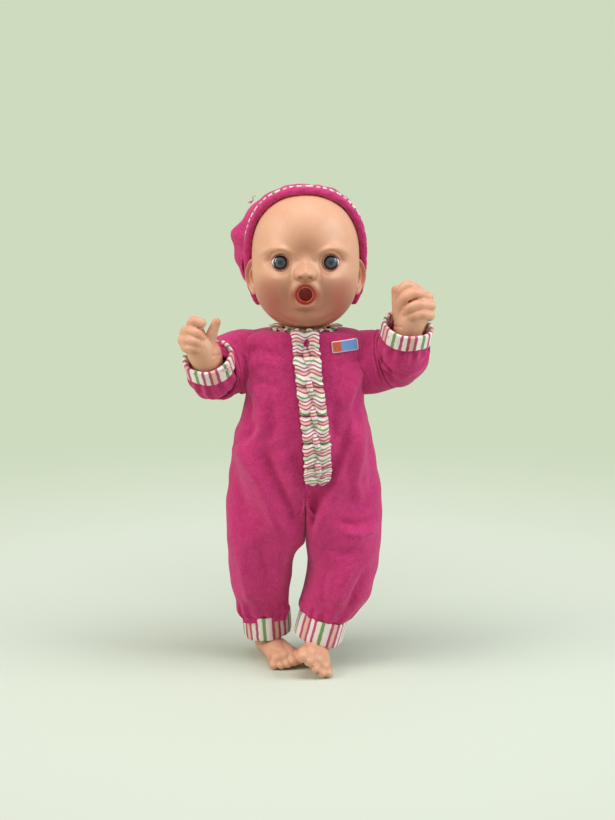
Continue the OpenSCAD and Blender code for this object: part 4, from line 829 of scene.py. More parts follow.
def makeSleeve(side, name):
    path, radii = armPath(side)
    t = np.linspace(0, 1, sleeve["rows"])
    grid = tubeGrid(along(path, t), along(radii, t), (0, 0.9, 0.44), columns=sleeve["columns"],
                    caps=(False, False))
    angle = circle(sleeve["columns"])
    t = t[:, None]
    bend = path[-1] - path[2]
    normals = gridNormals(grid, wrap=True)
    inner = soft(0.5 + 0.9 * (normals @ unit(bend)))  # the inside of the elbow faces the forearm's way
    run = t + 0.03 * np.sin(2 * angle + side) + 0.02 * np.sin(3 * angle + 2)
    lift = 1.9 * bell(run - sleeve["elbow"], 0.2) * inner * np.sin(run * 62 + side)
    lift += 0.9 * bell(run - 0.62, 0.16) * (1 - inner) * np.sin(run * 40 + 1.4 * np.sin(angle))
    lift += soft((t - 0.72) / 0.14) * soft((1 - t) / 0.06) * np.sin(angle * 12 + 1.5 * np.sin(2 * angle))
    lift += 0.8 * soft((0.2 - t) / 0.2) * soft(t / 0.05) * np.sin(angle * 9 + 1.2 * np.sin(3 * angle))
    lift += 0.7 * ripple(grid, 5 + side, 34) + 0.25 * ripple(grid, 8 + side, 13)
    lift *= soft(t / 0.06) * 0.85 + 0.15
    lift -= 0.8 * bell(t - 0.035, 0.012)  # the armhole seam
    grid = grid + normals * lift[..., None]
    return thicken(putGrid(name, grid, wrap=True, uvSize=(3, 3)), cloth["thickness"])


def makeCuff(name, start, axis, radius, band, seed):
    # the profile turned round the limb, a little uneven; u runs round it in stripe widths
    profile = along(cuffShape["profile"], np.linspace(0, 1, 40))
    angle = circle(160)
    out, up = profile[:, :1], profile[:, 1:] * band
    axis = unit(axis)
    across = unit(np.cross(axis, (0.3, 1, 0.1)))
    over = np.cross(axis, across)
    waves = (0.45 * np.sin(3 * angle + seed) + 0.3 * np.sin(7 * angle + 2 * seed)
             + 0.18 * np.sin(16 * angle + seed))
    reach = (radius + out + waves * (0.4 + 0.6 * soft(out / 2))
             + 0.35 * bell(up - 0.78 * band, 0.8) * soft(-out))
    high = up + 0.5 * np.sin(2 * angle + seed) + 0.25 * np.sin(5 * angle + seed)
    grid = (np.array(start)
            + reach[..., None] * (np.cos(angle)[..., None] * across + np.sin(angle)[..., None] * over))
    grid = grid + high[..., None] * axis
    grid = np.concatenate([grid, grid[:1]])
    around = 2 * math.pi * radius / cuffShape["stripe"]
    return mergeDoubles(putGrid(name, grid, wrap=True, uvSize=(round(around), 1)), closed=True)


def makeWristCuff(side, name):
    start, forearm = cuffPlace(side)
    return makeCuff(name, start, forearm, cuffShape["wristRadius"], cuffShape["wristBand"], 2.0 + side)


def makeWristBow(name):
    # a small ribbon knot tied at the front of the doll's right cuff
    start, forearm = cuffPlace(-1)
    facing = np.array([0.62, -0.78, 0])
    front = unit(facing - forearm * (facing @ forearm))
    return makeBow(name, start + forearm * 8 + front * (cuffShape["wristRadius"] + 2.4), front, 4.6)


def makeAnkleCuff(side, name):
    low, high = (np.array(p) * [side, 1, 1] for p in ankles[side])
    axis = unit(low - high)
    return makeCuff(name, high - axis * 0.5, axis, cuffShape["ankleRadius"], cuffShape["ankleBand"],
                    4.0 + side)


# ruffles, patch and back opening

ruffle = {"edges": [286, 266.5, 243, 220.5, 198.5, 177, 164.5], "middles": [-0.5, 1, 3.6, 6.6, 8.8, 10, 9.6],
          "width": 21.6, "rows": 56, "columns": 72, "loop": 8.2}


def frontPoints():
    halves = [halfRomper(side) for side in (1, -1)]
    both = np.concatenate([grid[::2, ::2][~gone[::2, ::2]] for grid, gone in halves])
    return both[(both[:, 1] < -12) & (both[:, 2] > 145) & (np.abs(both[:, 0]) < 46)]


clothPoints = frontPoints()


def frontOfBody(x, z):
    # the romper's front at a place: the mean of its points, each weighted by a bell of its distance
    x, z = np.broadcast_arrays(x, z)
    depth = np.empty(x.shape)
    for row in range(len(x)):
        away = (x[row][:, None] - clothPoints[:, 0]) ** 2 + (z[row][:, None] - clothPoints[:, 2]) ** 2
        weight = np.exp(-away / 4) + 1e-4 * np.exp(-away / 80)
        depth[row] = weight @ clothPoints[:, 1] / weight.sum(1)
    return depth


def makeRuffle(name):
    # a strip box-pleated into tiers: each tier stands off with two lobes pinched in the middle, then dives
    edges, middles = np.array(ruffle["edges"]), ruffle["middles"]
    tiers = len(edges) - 1
    v = np.linspace(0, 1, ruffle["rows"] * tiers + 1)[:, None]
    u = np.linspace(-1, 1, ruffle["columns"])[None, :]
    tier = np.minimum(v * tiers, tiers - 1e-6)
    within = tier - np.floor(tier)
    centre = np.interp(v * tiers, range(tiers + 1), middles)
    high = np.interp(v * tiers, range(tiers + 1), edges)
    stand = soft(within / 0.12) * soft((1 - within) / 0.12)
    pinch = bell(u - 0.1 * np.sin(tier * 5), 0.26) * (0.35 + 0.65 * bell(within - 0.5, 0.26))
    lobes = (1 - 0.8 * pinch + 0.3 * soft(np.abs(u) * 1.6 - 0.2)
             + 0.22 * np.sin(within * 12.6 + 3 * u) * (1 - pinch))
    lift = 1.9 + 3.6 * stand * lobes * (1 - 0.16 * u ** 4)
    wide = 1 - 0.13 * (1 - stand) + 0.035 * np.sin(tier * 6.28 + 1) + 0.025 * np.sin(tier * 17)
    wide = wide + 0.03 * np.sin(tier * 23 + 2 * np.sign(u))
    foot = np.clip((tier - tiers + 0.45) / 0.45, 0, 1)
    wide = wide * np.sqrt(1 - 0.5 * foot ** 2.5)
    x = centre + ruffle["width"] / 2 * u * wide
    z = (high + 3.4 * (within - 0.5) * pinch * stand - 1.2 * np.cos(u * 5 + tier) * stand
         - 2.2 * foot * np.abs(np.sin(u * math.pi)))
    y = frontOfBody(x, z) - lift
    parts = [putGrid("strip", np.stack([x, y, z], -1), uvSize=(1, 10.5))]
    for i in range(1, tiers):  # narrow slanting loops arch over the dips
        s, w = np.linspace(-1, 1, 30)[:, None], np.linspace(-1, 1, 14)[None, :]
        high = edges[i] - s * ruffle["loop"] + 0.25 * w
        wx = middles[i] + 1.9 * w * (1.25 - 0.5 * s ** 2) + (2.1 if i < tiers - 1 else 0.4) * s
        wy = frontOfBody(wx, high) - 2.0 - 5.0 * np.sqrt(np.maximum(1 - s ** 2, 0)) * (1 - 0.4 * w ** 2)
        parts.append(putGrid("loop", np.stack([wx, wy, high], -1), uvSize=(0.2, 1.5)))
    return thicken(joined(name, *parts), 0.9, 0)


def makeCollar(name):
    # a narrow frill round the neck, wavy at its free edge
    angle = circle(400)
    t = np.linspace(0, 1, 26)[:, None]
    wave = np.sin(angle * 17 + 1.4 * np.sin(3 * angle))
    out = 21.8 + 7.6 * t + 0.9 * t * wave
    z = 285.2 + 2.4 * np.sin(t * 2.2) + 1.5 * t * wave - 1.6 * t
    grid = np.stack([out * np.cos(angle), out * np.sin(angle) * 0.96 - 0.6, z + 0 * angle], -1)
    return thicken(putGrid(name, grid, wrap=True, uvSize=(9, 0.4)), 0.9, 0)


def makePatch(name):
    # a small rounded patch with a stitched border, laid on the chest
    width, height, tilt = 21.0, 9.0, 0.11
    u, v = np.linspace(-1, 1, 70)[None, :], np.linspace(-1, 1, 40)[:, None]
    corner = 0.86
    squeezeU = np.where(np.abs(v) > corner,
                        np.sqrt(np.maximum(1 - ((np.abs(v) - corner) / (1 - corner)) ** 2, 0)), 1)
    flatX, flatZ = u * (width / 2 - 1.6 * (1 - squeezeU)), v * height / 2 + 0 * u
    x, z = 31.5 + flatX - tilt * flatZ, 274.4 + flatZ + tilt * flatX
    edge = np.maximum(np.abs(u), np.abs(v))
    side = np.minimum((1 - np.abs(u)) * width / 2, (1 - np.abs(v)) * height / 2)
    border = bell(side - 0.75, 0.5)
    stitch = 0.5 + 0.5 * np.sin((np.abs(u) > np.abs(v)) * z * 9 + (np.abs(u) <= np.abs(v)) * x * 9)
    y = frontOfBody(x, z) - 1.0 - 0.35 * border * (0.6 + 0.4 * stitch) - 0.3 * (1 - edge ** 12)
    masks = {"border": soft(1.4 - side / 0.6).ravel(), "field": soft((flatX + 3.4) / 1.2).ravel()}
    return thicken(putGrid(name, np.stack([x, y, z], -1), masks=masks), 0.7)


def backOfBody(z):
    heights = [167, 184, 198, 213, 227, 240, 257, 275, 283]
    return np.interp(z, heights, [38.4, 38.4, 38.4, 37.8, 36.8, 35.2, 32.4, 29.8, 27])


def makeBackPlacket(name):
    # the overlapping back edge with two rows of stitching
    u, t = np.linspace(-1, 1, 60)[None, :], np.linspace(0, 1, 160)[:, None]
    z = 276 - 96 * t + 0 * u
    x = 8 * u + 0.35 * np.sin(t * 19)
    seam = bell(np.abs(u) - 0.84, 0.05) * (0.6 + 0.4 * np.sin(z * 4.5))
    curve = (1 - np.clip(np.abs(x) / 47, 0, 1) ** 3) ** (1 / 3)
    y = (backOfBody(z) * curve + 1.5 - 0.35 * seam + 0.25 * np.sin(t * 40) * np.abs(u)
         - 1.2 * np.clip(np.abs(u) - 0.94, 0, 1) / 0.06)
    return thicken(putGrid(name, np.stack([x, y, z], -1), uvSize=(0.5, 3)), 1.0)


def makeSnaps(name):
    # domed caps with a rim
    profile = [(0, 1.6), (1.6, 1.5), (2.8, 1.1), (3.2, 0.7), (3.5, 0.95), (3.9, 0.85), (4, 0.4),
               (3.9, -0.4)]
    rings = along(profile, np.linspace(0, 1, 40))
    angle = circle(40)
    parts = []
    for i in range(4):
        z = 192 + i * 26
        radius, high = rings[:, :1], rings[:, 1:]
        grid = np.stack([radius * np.cos(angle), backOfBody(z) + 2.0 + high + 0 * angle,
                         z + radius * np.sin(angle)], -1)
        parts.append(putGrid("snap", grid, wrap=True))
    return mergeDoubles(joined(name, *parts))


# hat

hat = {"grow": 4.0, "plane": (-19.0, 21.5), "sag": 6.0, "nape": -36.0, "brimRadius": 3.2, "rows": 120,
       "columns": 260, "slack": 3.2,
       "peak": 14.0, "peakAt": (-0.90, 0.24, 0.36), "peakTowards": (-0.97, 0.2, 0.12),
       "pole": (0.06, 0.86, 0.5)}
hatLean = math.atan2(hat["plane"][1] - hat["plane"][0], 2 * head["halfHeight"])


def hatPoint(direction, grow, peaked=1.0):
    # where a ray from the head's middle meets the head grown by grow, with the peaked corner and the loose
    # back
    a, b, c = (head[k] + grow for k in ("halfWidth", "halfDepth", "halfHeight"))
    n = head["fullness"]
    d = unit(direction)
    flat = (d[..., 0] / a) ** 2 + (d[..., 1] / b) ** 2
    reach = (np.abs(d[..., 2] / c) ** n + flat ** (n / 2)) ** (-1 / n)
    spot = d * reach[..., None]
    near = np.clip(d @ unit(hat["peakAt"]), -1, 1)
    peak = hat["peak"] * np.exp(-(np.arccos(near) / 0.42) ** 1.15)
    loose = hat["slack"] * soft(d[..., 1] * 1.3)
    sagging = hat["sag"] * bell(d[..., 2] + 0.2, 0.36) * soft(-d[..., 0] * 2 - 0.6)
    return (spot + (peak * peaked)[..., None] * unit(hat["peakTowards"])
            + loose[..., None] * np.array([0, 1, 0])
            + sagging[..., None] * np.array([-1, 0.2, 0]))


def hatEdge(columns, grow, shift):
    # closed loop round the face and the nape; over the face it lies in the leaning plane
    angle = np.linspace(0, 2 * math.pi, columns, endpoint=False) + math.pi / 2
    a, b, c = (head[k] + grow for k in ("halfWidth", "halfDepth", "halfHeight"))
    middle = sum(hat["plane"]) / 2 + shift
    heights = np.linspace(0, c, 600)  # the plane leaves the head at its highest point on it
    top = heights[b * headSlice(heights, c) > np.abs(middle - heights * math.tan(hatLean))].max()
    z = np.where(np.sin(angle) > 0, top, c) * np.sin(angle)
    low = soft((hat["nape"] + 6 - z) / 10)
    z = z + low * (hat["nape"] - z)
    onPlane = middle - z * math.tan(hatLean)
    share = headSlice(z, c)
    x = a * share * np.sqrt(np.maximum(1 - (onPlane / (b * np.maximum(share, 0.05))) ** 2, 0))
    back = soft((-np.sin(angle) - 0.62) / 0.3)
    lon = np.arctan2(x / a, -onPlane / b)
    lon = lon + back * (math.pi - lon) * (1 - np.clip(np.abs(np.cos(angle)) / 0.75, 0, 1))
    px, py = a * share * np.sin(lon) * np.sign(np.cos(angle)), -b * share * np.cos(lon)
    return np.stack([np.where(low > 0.02, px, x * np.sign(np.cos(angle))), np.where(low > 0.02, py, onPlane),
                     z], -1)


def smoothLoop(points, times):  # each point moves to the mean of itself and its neighbours
    for _ in range(times):
        points = (np.roll(points, 1, 0) + 2 * points + np.roll(points, -1, 0)) / 4
    return points


def makeHatCrown(name):
    edge = unit(smoothLoop(hatEdge(hat["columns"], hat["grow"] + 1.0, 3.6), 12))
    pole = unit(hat["pole"])
    t = np.linspace(0, 1, hat["rows"])[:, None]
    swing = np.arccos(np.clip(edge @ pole, -1, 1))[None, :]
    rays = (np.sin((1 - t) * swing)[..., None] * edge[None]
            + np.sin(t * swing)[..., None] * pole) / np.sin(swing)[..., None]
    grid = hatPoint(rays, hat["grow"] + 0.9, soft(t / 0.13))
    normals = -gridNormals(grid, wrap=True)
    normals[-1] = pole
    around = circle(hat["columns"])
    lift = 0.9 * ripple(grid, 31, 46) + 0.3 * ripple(grid, 37, 17)
    lift += 0.9 * soft(t / 0.05) * soft((0.34 - t) / 0.3) * np.sin(around * 21 + 2 * np.sin(3 * around))
    lift += 1.1 * soft((t - 0.75) / 0.2) * soft((1 - t) / 0.04) * np.sin(around * 12 + np.sin(2 * around))
    tuck = bell(t, 0.03)
    grid = grid + normals * (lift * soft((1 - t) / 0.02) * soft(t / 0.03) - 1.2 * tuck)[..., None]
    grid[-1] = grid[-2].mean(0)
    crown = putGrid(name, grid + [0, 0, head["middle"]], wrap=True, flip=True, uvSize=(5, 2))
    return thicken(mergeDoubles(crown), 1.4)


def hatRoll(name, path, radius, flat, uvSize):
    # a closed tube round a loop: one radius for each place along the loop and round it, flat times that
    # across
    angle = circle(radius.shape[1])
    run = unit(np.roll(path, -1, 0) - np.roll(path, 1, 0))
    across = unit(np.cross(run, (0, 1, 0)))
    over = np.cross(run, across)
    grid = path[:, None] + radius[..., None] * (np.cos(angle)[..., None] * across[:, None]
                                                + flat * np.sin(angle)[..., None] * over[:, None])
    grid = np.concatenate([grid, grid[:1]]) + [0, 0, head["middle"]]
    return mergeDoubles(putGrid(name, grid, wrap=True, uvSize=uvSize), closed=True)


def makeHatBrim(name):
    # the rolled edge: a soft tube whose radius varies a little along it and round it
    angle, s = circle(30), circle(360).T
    radius = (hat["brimRadius"] + 0.28 * np.sin(9 * s + 2 * np.sin(2 * s)) + 0.18 * np.sin(31 * s + 3 * angle)
              + 0.12 * np.sin(57 * s - 2 * angle))
    return hatRoll(name, smoothLoop(hatEdge(360, hat["grow"] - 0.6, 0), 16), radius, 0.92, (0.5, 8))


def makePiping(name):
    # a narrow striped cord of cloth behind the brim
    radius = np.full((360, 16), 1.35)
    return hatRoll(name, smoothLoop(hatEdge(360, hat["grow"] + 1.3, 4.0), 16), radius, 1.0, (0.1, 15))


def ribbon(path, width, side, steps=40):
    # a flat band along a few points, side is its width's direction at each
    t = np.linspace(0, 1, steps)
    line, across = along(path, t), unit(along(side, t))
    w = np.linspace(-0.5, 0.5, 9)[None, :, None]
    return line[:, None] + across[:, None] * w * width


def makeBow(name, middle, outwards, size):
    # two flat loops, two tails and a knot
    middle, outwards = np.asarray(middle, float), unit(outwards)
    sideways = unit(np.cross(outwards, (0.25, 0.2, 1)))
    up = np.cross(outwards, sideways)
    parts = []
    for way in (-1, 1):
        loop = [middle, middle + size * (way * 0.5 * sideways + 0.28 * outwards + 0.1 * up),
                middle + size * (way * sideways + 0.2 * outwards),
                middle + size * (way * 0.95 * sideways - 0.02 * outwards - 0.06 * up),
                middle + size * (way * 0.45 * sideways + 0.02 * outwards), middle]
        parts.append(putGrid("loop", ribbon(loop, size * 0.42, [up] * 6), uvSize=(0.5, 1.4)))
        tail = [middle, middle + size * (way * 0.35 * sideways - 0.45 * up + 0.12 * outwards),
                middle + size * (way * 0.62 * sideways - up + 0.05 * outwards)]
        parts.append(putGrid("tail", ribbon(tail, size * 0.36, [sideways + 0.3 * up] * 3), uvSize=(0.5, 1)))
    knot = tubeGrid([middle - up * size * 0.14, middle + up * size * 0.14], [size * 0.2, size * 0.2],
                    sideways, 1.0, columns=16)
    parts.append(putGrid("knot", knot, wrap=True, uvSize=(0.4, 0.3)))
    return thicken(joined(name, *parts), 0.5, 0)


# eyes

eyeLook = {"radius": head["eyeRadius"], "cornea": 0.35, "turn": 1.0, "outward": 4.0}


def makeEye(side, name):
    # a ball with its pole towards the viewer and a slight dome over the iris; the ring mask is the distance
    # from the pole's axis in mm
    t, angle = np.linspace(0, 1, 90)[:, None], circle(96)
    swing = math.pi * t ** 1.5
    onIris = (1 - soft((eyeLook["radius"] * np.sin(swing) - 3.8) / 2)) * (swing < 1.2)
    reach = eyeLook["radius"] + eyeLook["cornea"] * onIris
    turn = math.radians(eyeLook["turn"] + side * eyeLook["outward"])
    flat, ahead = reach * np.sin(swing), reach * np.cos(swing)
    local = np.stack([flat * np.cos(angle), -ahead + 0 * angle, flat * np.sin(angle)], -1)
    spin = np.array([[math.cos(turn), math.sin(turn), 0], [-math.sin(turn), math.cos(turn), 0], [0, 0, 1]])
    grid = local @ spin + np.array([side * head["eyeX"], head["eyeY"], head["eyeUp"] + head["middle"]])
    far = (flat + 0 * angle) * (swing < 1.5) + 9 * (swing >= 1.5)
    return mergeDoubles(putGrid(name, grid, wrap=True, masks={"ring": far.ravel()}), closed=True)


# looks

def rgb(code):  # a hex colour as linear values
    parts = [int(code[i:i + 2], 16) / 255 for i in (1, 3, 5)]
    return tuple(c / 12.92 if c <= 0.04045 else ((c + 0.055) / 1.055) ** 2.4 for c in parts) + (1.0,)


class Nodes:
    # a short way to add and join nodes in one tree
    def __init__(self, tree):
        self.tree = tree

    def add(self, kind, **values):
        node = self.tree.nodes.new(kind)
        for key, value in values.items():
            setattr(node, key, value)
        return node

    def join(self, start, end):
        self.tree.links.new(start, end)

    def feed(self, socket, value):
        # the value may be another node's socket, a hex colour or a plain value
        if isinstance(value, bpy.types.NodeSocket):
            self.join(value, socket)
        else:
            socket.default_value = rgb(value) if isinstance(value, str) else value

    def noise(self, place, scale, detail=2.0, rough=0.5, distortion=0.0):
        node = self.add("ShaderNodeTexNoise")
        self.feed(node.inputs["Vector"], place)
        for name, value in (("Scale", scale), ("Detail", detail), ("Roughness", rough),
                            ("Distortion", distortion)):
            self.feed(node.inputs[name], value)
        return node.outputs["Fac"]

    def sum(self, operation, first, second=0.0, clamp=False):
        node = self.add("ShaderNodeMath", operation=operation, use_clamp=clamp)
        self.feed(node.inputs[0], first)
        self.feed(node.inputs[1], second)
        return node.outputs[0]

    def times(self, first, second, clamp=False):
        return self.sum("MULTIPLY", first, second, clamp)

    def plus(self, first, second, clamp=False):
        return self.sum("ADD", first, second, clamp)

    def minus(self, first, second):
        return self.sum("SUBTRACT", first, second)

    def spread(self, value, low, high, toLow=0.0, toHigh=1.0):
        node = self.add("ShaderNodeMapRange", interpolation_type="SMOOTHSTEP")
        for i, v in enumerate((value, low, high, toLow, toHigh)):
            self.feed(node.inputs[i], v)
        return node.outputs[0]

    def blend(self, share, first, second, kind="MIX"):
        node = self.add("ShaderNodeMix", data_type="RGBA", blend_type=kind)
        self.feed(node.inputs[0], share)
        self.feed(node.inputs[6], first)
        self.feed(node.inputs[7], second)
        return node.outputs[2]

    def bumped(self, height, depth, strength=1.0):
        node = self.add("ShaderNodeBump")
        self.feed(node.inputs["Height"], height)
        self.feed(node.inputs["Distance"], depth)
        self.feed(node.inputs["Strength"], strength)
        return node.outputs["Normal"]

    def squeezed(self, place, scale):
        node = self.add("ShaderNodeMapping")
        self.feed(node.inputs["Vector"], place)
        node.inputs["Scale"].default_value = scale
        return node.outputs["Vector"]


def effect(name, inputs, outputs):
    # a node group with named sockets; kinds are Float, Color or Vector
    tree = bpy.data.node_groups.new(name, "ShaderNodeTree")
    for label, kind, value in inputs:
        socket = tree.interface.new_socket(label, in_out="INPUT", socket_type="NodeSocket" + kind)
        if value is not None:
            socket.default_value = value
    for label, kind in outputs:
        tree.interface.new_socket(label, in_out="OUTPUT", socket_type="NodeSocket" + kind)
    nodes = Nodes(tree)
    return tree, nodes, nodes.add("NodeGroupInput").outputs, nodes.add("NodeGroupOutput").inputs


def fleeceEffect():
    # short pile: tufts a millimetre across and clumps of several vary the tone at random; the nap's lighter
    # patches, where it catches light, are painted sheen
    tree, n, given, made = effect("fleecePile", [
        ("Place", "Vector", None), ("Dark", "Color", rgb("#A8245A")), ("Light", "Color", rgb("#D94A8C")),
        ("Tuft", "Float", 0.9)],
        [("Color", "Color"), ("Height", "Float"), ("Roughness", "Float")])
    tufts = n.noise(given["Place"], 1100.0, 4.0, 0.62, 0.4)
    clumps = n.noise(given["Place"], 230.0, 3.0, 0.6, 0.8)
    # painted sheen: lighter patches where the nap catches light
    nap = n.noise(given["Place"], 38.0, 3.0, 0.55)
    mixed = n.plus(n.times(tufts, 0.62), n.plus(n.times(clumps, 0.3), n.times(nap, 0.16)))
    share = n.spread(mixed, 0.3, 0.85)
    n.join(n.blend(share, given["Dark"], given["Light"]), made["Color"])
    n.join(n.plus(n.times(tufts, given["Tuft"]), n.times(clumps, 1.1)), made["Height"])
    n.join(n.spread(tufts, 0.2, 0.8, 0.98, 0.86), made["Roughness"])
    return tree


def stripeEffect():
    # printed knit: Across counts stripe repeats; the edges are uneven and small sprigs of green sit on white
    tree, n, given, made = effect("printedStripes", [
        ("Across", "Float", 0.0), ("Place", "Vector", None), ("Fading", "Float", 0.12)],
        [("Color", "Color"), ("Height", "Float"), ("Roughness", "Float")])
    wobble = n.times(n.minus(n.noise(given["Place"], 260.0, 2.0), 0.5), 0.05)
    turn = n.sum("FRACT", n.plus(given["Across"], wobble))
    ramp = n.add("ShaderNodeValToRGB")
    ramp.color_ramp.interpolation = "LINEAR"
    white, magenta, green, peach = "#F1E4DF", "#B4366A", "#679C58", "#E9B9A6"
    stops = [(0.0, green), (0.1, green), (0.12, white), (0.25, white), (0.27, magenta), (0.34, magenta),
             (0.36, white), (0.47, white), (0.49, magenta), (0.56, magenta), (0.58, peach), (0.69, peach),
             (0.71, magenta), (0.79, magenta), (0.81, white), (0.985, white)]
    ramp.color_ramp.elements[0].color = rgb(stops[0][1])
    last = ramp.color_ramp.elements[1]
    last.position, last.color = stops[-1][0], rgb(stops[-1][1])
    for position, code in stops[1:-1]:
        ramp.color_ramp.elements.new(position).color = rgb(code)
    n.join(turn, ramp.inputs["Fac"])
    sprigs = n.add("ShaderNodeTexVoronoi", feature="F1")
    n.join(given["Place"], sprigs.inputs["Vector"])
    sprigs.inputs["Scale"].default_value = 210.0
    leaf = n.spread(sprigs.outputs["Distance"], 0.16, 0.24, 1.0, 0.0)
    onWhite = n.spread(turn, 0.82, 0.84)
    printed = n.blend(n.times(n.times(leaf, onWhite), 0.75), ramp.outputs["Color"], "#7BA06A")
    knit = n.noise(given["Place"], 1500.0, 2.0, 0.6)
    faded = n.blend(n.times(n.noise(given["Place"], 60.0, 2.0), given["Fading"]), printed, "#F3E9E4")
    n.join(n.blend(n.spread(knit, 0.3, 0.7, 0.0, 0.16), faded, "#8C6A6A", "MULTIPLY"), made["Color"])
    n.join(knit, made["Height"])
    n.join(n.spread(knit, 0.2, 0.8, 0.95, 0.82), made["Roughness"])
    return tree


def vinylEffect():
    # soft vinyl: the sprayed blush and red lips come from masks, and the Shade mask browns the skin as painted
    # shade; Speckle breaks them up
    tree, n, given, made = effect("tintedVinyl", [
        ("Place", "Vector", None), ("Base", "Color", rgb("#D8A283")), ("Blush", "Float", 0.0),
        ("Lips", "Float", 0.0),
        ("Shade", "Float", 0.0), ("Speckle", "Float", 0.18)],
        [("Color", "Color"), ("Height", "Float"), ("Roughness", "Float")])
    mottle = n.noise(given["Place"], 90.0, 4.0, 0.6)
    fine = n.noise(given["Place"], 1400.0, 3.0, 0.6)
    toned = n.blend(n.spread(mottle, 0.3, 0.7, 0.0, 0.3), given["Base"], "#E5B294")
    spray = n.plus(given["Blush"], n.times(n.minus(mottle, 0.5), given["Speckle"]), clamp=True)
    flushed = n.blend(n.times(spray, n.spread(given["Blush"], 0.0, 0.3)), toned, "#B4564A")
    # painted shade: the Shade mask turns the skin brown where shade falls
    paintedShade = n.blend(n.times(given["Shade"], 0.75, clamp=True), flushed, "#96513C")
    lips = n.blend(n.spread(n.plus(given["Lips"], n.times(n.minus(mottle, 0.5), 0.3)), 0.25, 0.85),
                   paintedShade, "#C4513F")
    n.join(lips, made["Color"])
    n.join(n.plus(n.times(fine, 0.6), n.times(mottle, 0.8)), made["Height"])
    n.join(n.minus(n.spread(mottle, 0.2, 0.8, 0.5, 0.38), n.times(given["Lips"], 0.12)), made["Roughness"])
    return tree


def mouldedEffect():
    # moulded plastic or paint: a faint grain, slow changes of tone and light scuffs
    tree, n, given, made = effect("mouldedGrain", [
        ("Place", "Vector", None), ("Base", "Color", rgb("#E8E4DA")), ("Worn", "Color", rgb("#C9C2B4")),
        ("Grain", "Float", 1200.0)],
        [("Color", "Color"), ("Height", "Float"), ("Roughness", "Float")])
    slow = n.noise(given["Place"], 40.0, 3.0)
    grain = n.noise(given["Place"], given["Grain"], 2.0)
    scuff = n.spread(n.noise(n.squeezed(given["Place"], (1.0, 1.0, 0.12)), 700.0, 3.0, 0.7, 0.6), 0.62, 0.72)
    n.join(n.blend(n.plus(n.times(slow, 0.25), n.times(scuff, 0.25)), given["Base"], given["Worn"]),
           made["Color"])
    n.join(n.minus(grain, n.times(scuff, 0.7)), made["Height"])
    n.join(n.plus(n.spread(slow, 0.3, 0.7, 0.34, 0.46), n.times(scuff, 0.15)), made["Roughness"])
    return tree


effects = {"fleece": fleeceEffect(), "stripes": stripeEffect(), "vinyl": vinylEffect(),
           "moulded": mouldedEffect()}


def freshLook(name, **constants):
    # a material with its shader and the piece's own place; constants go on the shader's sockets
    material = bpy.data.materials.new(name)
    material.use_nodes = True
    nodes = Nodes(material.node_tree)
    shader = material.node_tree.nodes["Principled BSDF"]
    for label, value in constants.items():
        shader.inputs[label].default_value = value
    place = nodes.add("ShaderNodeTexCoord").outputs["Object"]
    return material, nodes, shader, place


def useEffect(nodes, kind, **given):
    node = nodes.add("ShaderNodeGroup", node_tree=effects[kind])
    for label, value in given.items():
        nodes.feed(node.inputs[label], value)
    return node.outputs


def finish(nodes, shader, outputs, depth):
    # colour, roughness and height go to the shader; depth is the height's size in metres
    nodes.join(outputs["Color"], shader.inputs["Base Color"])
    nodes.join(outputs["Roughness"], shader.inputs["Roughness"])
    nodes.join(nodes.bumped(outputs["Height"], depth), shader.inputs["Normal"])


def fleeceLook(name, dark, light):
    sheen = {"Sheen Weight": 0.55, "Sheen Roughness": 0.45, "Specular IOR Level": 0.15}
    material, nodes, shader, place = freshLook(name, **sheen)
    shader.inputs["Sheen Tint"].default_value = rgb("#F2A3C6")
    finish(nodes, shader, useEffect(nodes, "fleece", Place=place, Dark=dark, Light=light), 0.00055)
    return material


def stripeLook(name, along=False, repeats=1.0):
    # along turns the stripes to run round the piece instead of up it
    material, nodes, shader, place = freshLook(name, **{"Sheen Weight": 0.2, "Specular IOR Level": 0.2})
    parted = nodes.add("ShaderNodeSeparateXYZ")
    nodes.join(nodes.add("ShaderNodeUVMap", uv_map="cloth").outputs["UV"], parted.inputs[0])
    across = nodes.times(parted.outputs["Y" if along else "X"], repeats)
    finish(nodes, shader, useEffect(nodes, "stripes", Across=across, Place=place), 0.00018)
    return material


def mask(nodes, name):
    return nodes.add("ShaderNodeAttribute", attribute_name=name).outputs["Fac"]


def skinLook():
    material, nodes, shader, place = freshLook("softVinyl", **{
        "Subsurface Weight": 0.12, "Subsurface Scale": 0.004, "Specular IOR Level": 0.42, "Coat Weight": 0.08,
        "Coat Roughness": 0.3})
    shader.inputs["Subsurface Radius"].default_value = (1.0, 0.35, 0.2)
    finish(nodes, shader, useEffect(nodes, "vinyl", Place=place, Blush=mask(nodes, "blush"),
                                    Lips=mask(nodes, "lips"),
                                    Shade=mask(nodes, "shade")), 0.00006)
    return material


def mouldedLook(name, base, worn, depth=0.00004, grain=1200.0, **constants):
    material, nodes, shader, place = freshLook(name, **constants)
    finish(nodes, shader, useEffect(nodes, "moulded", Place=place, Base=base, Worn=worn, Grain=grain), depth)
    return material


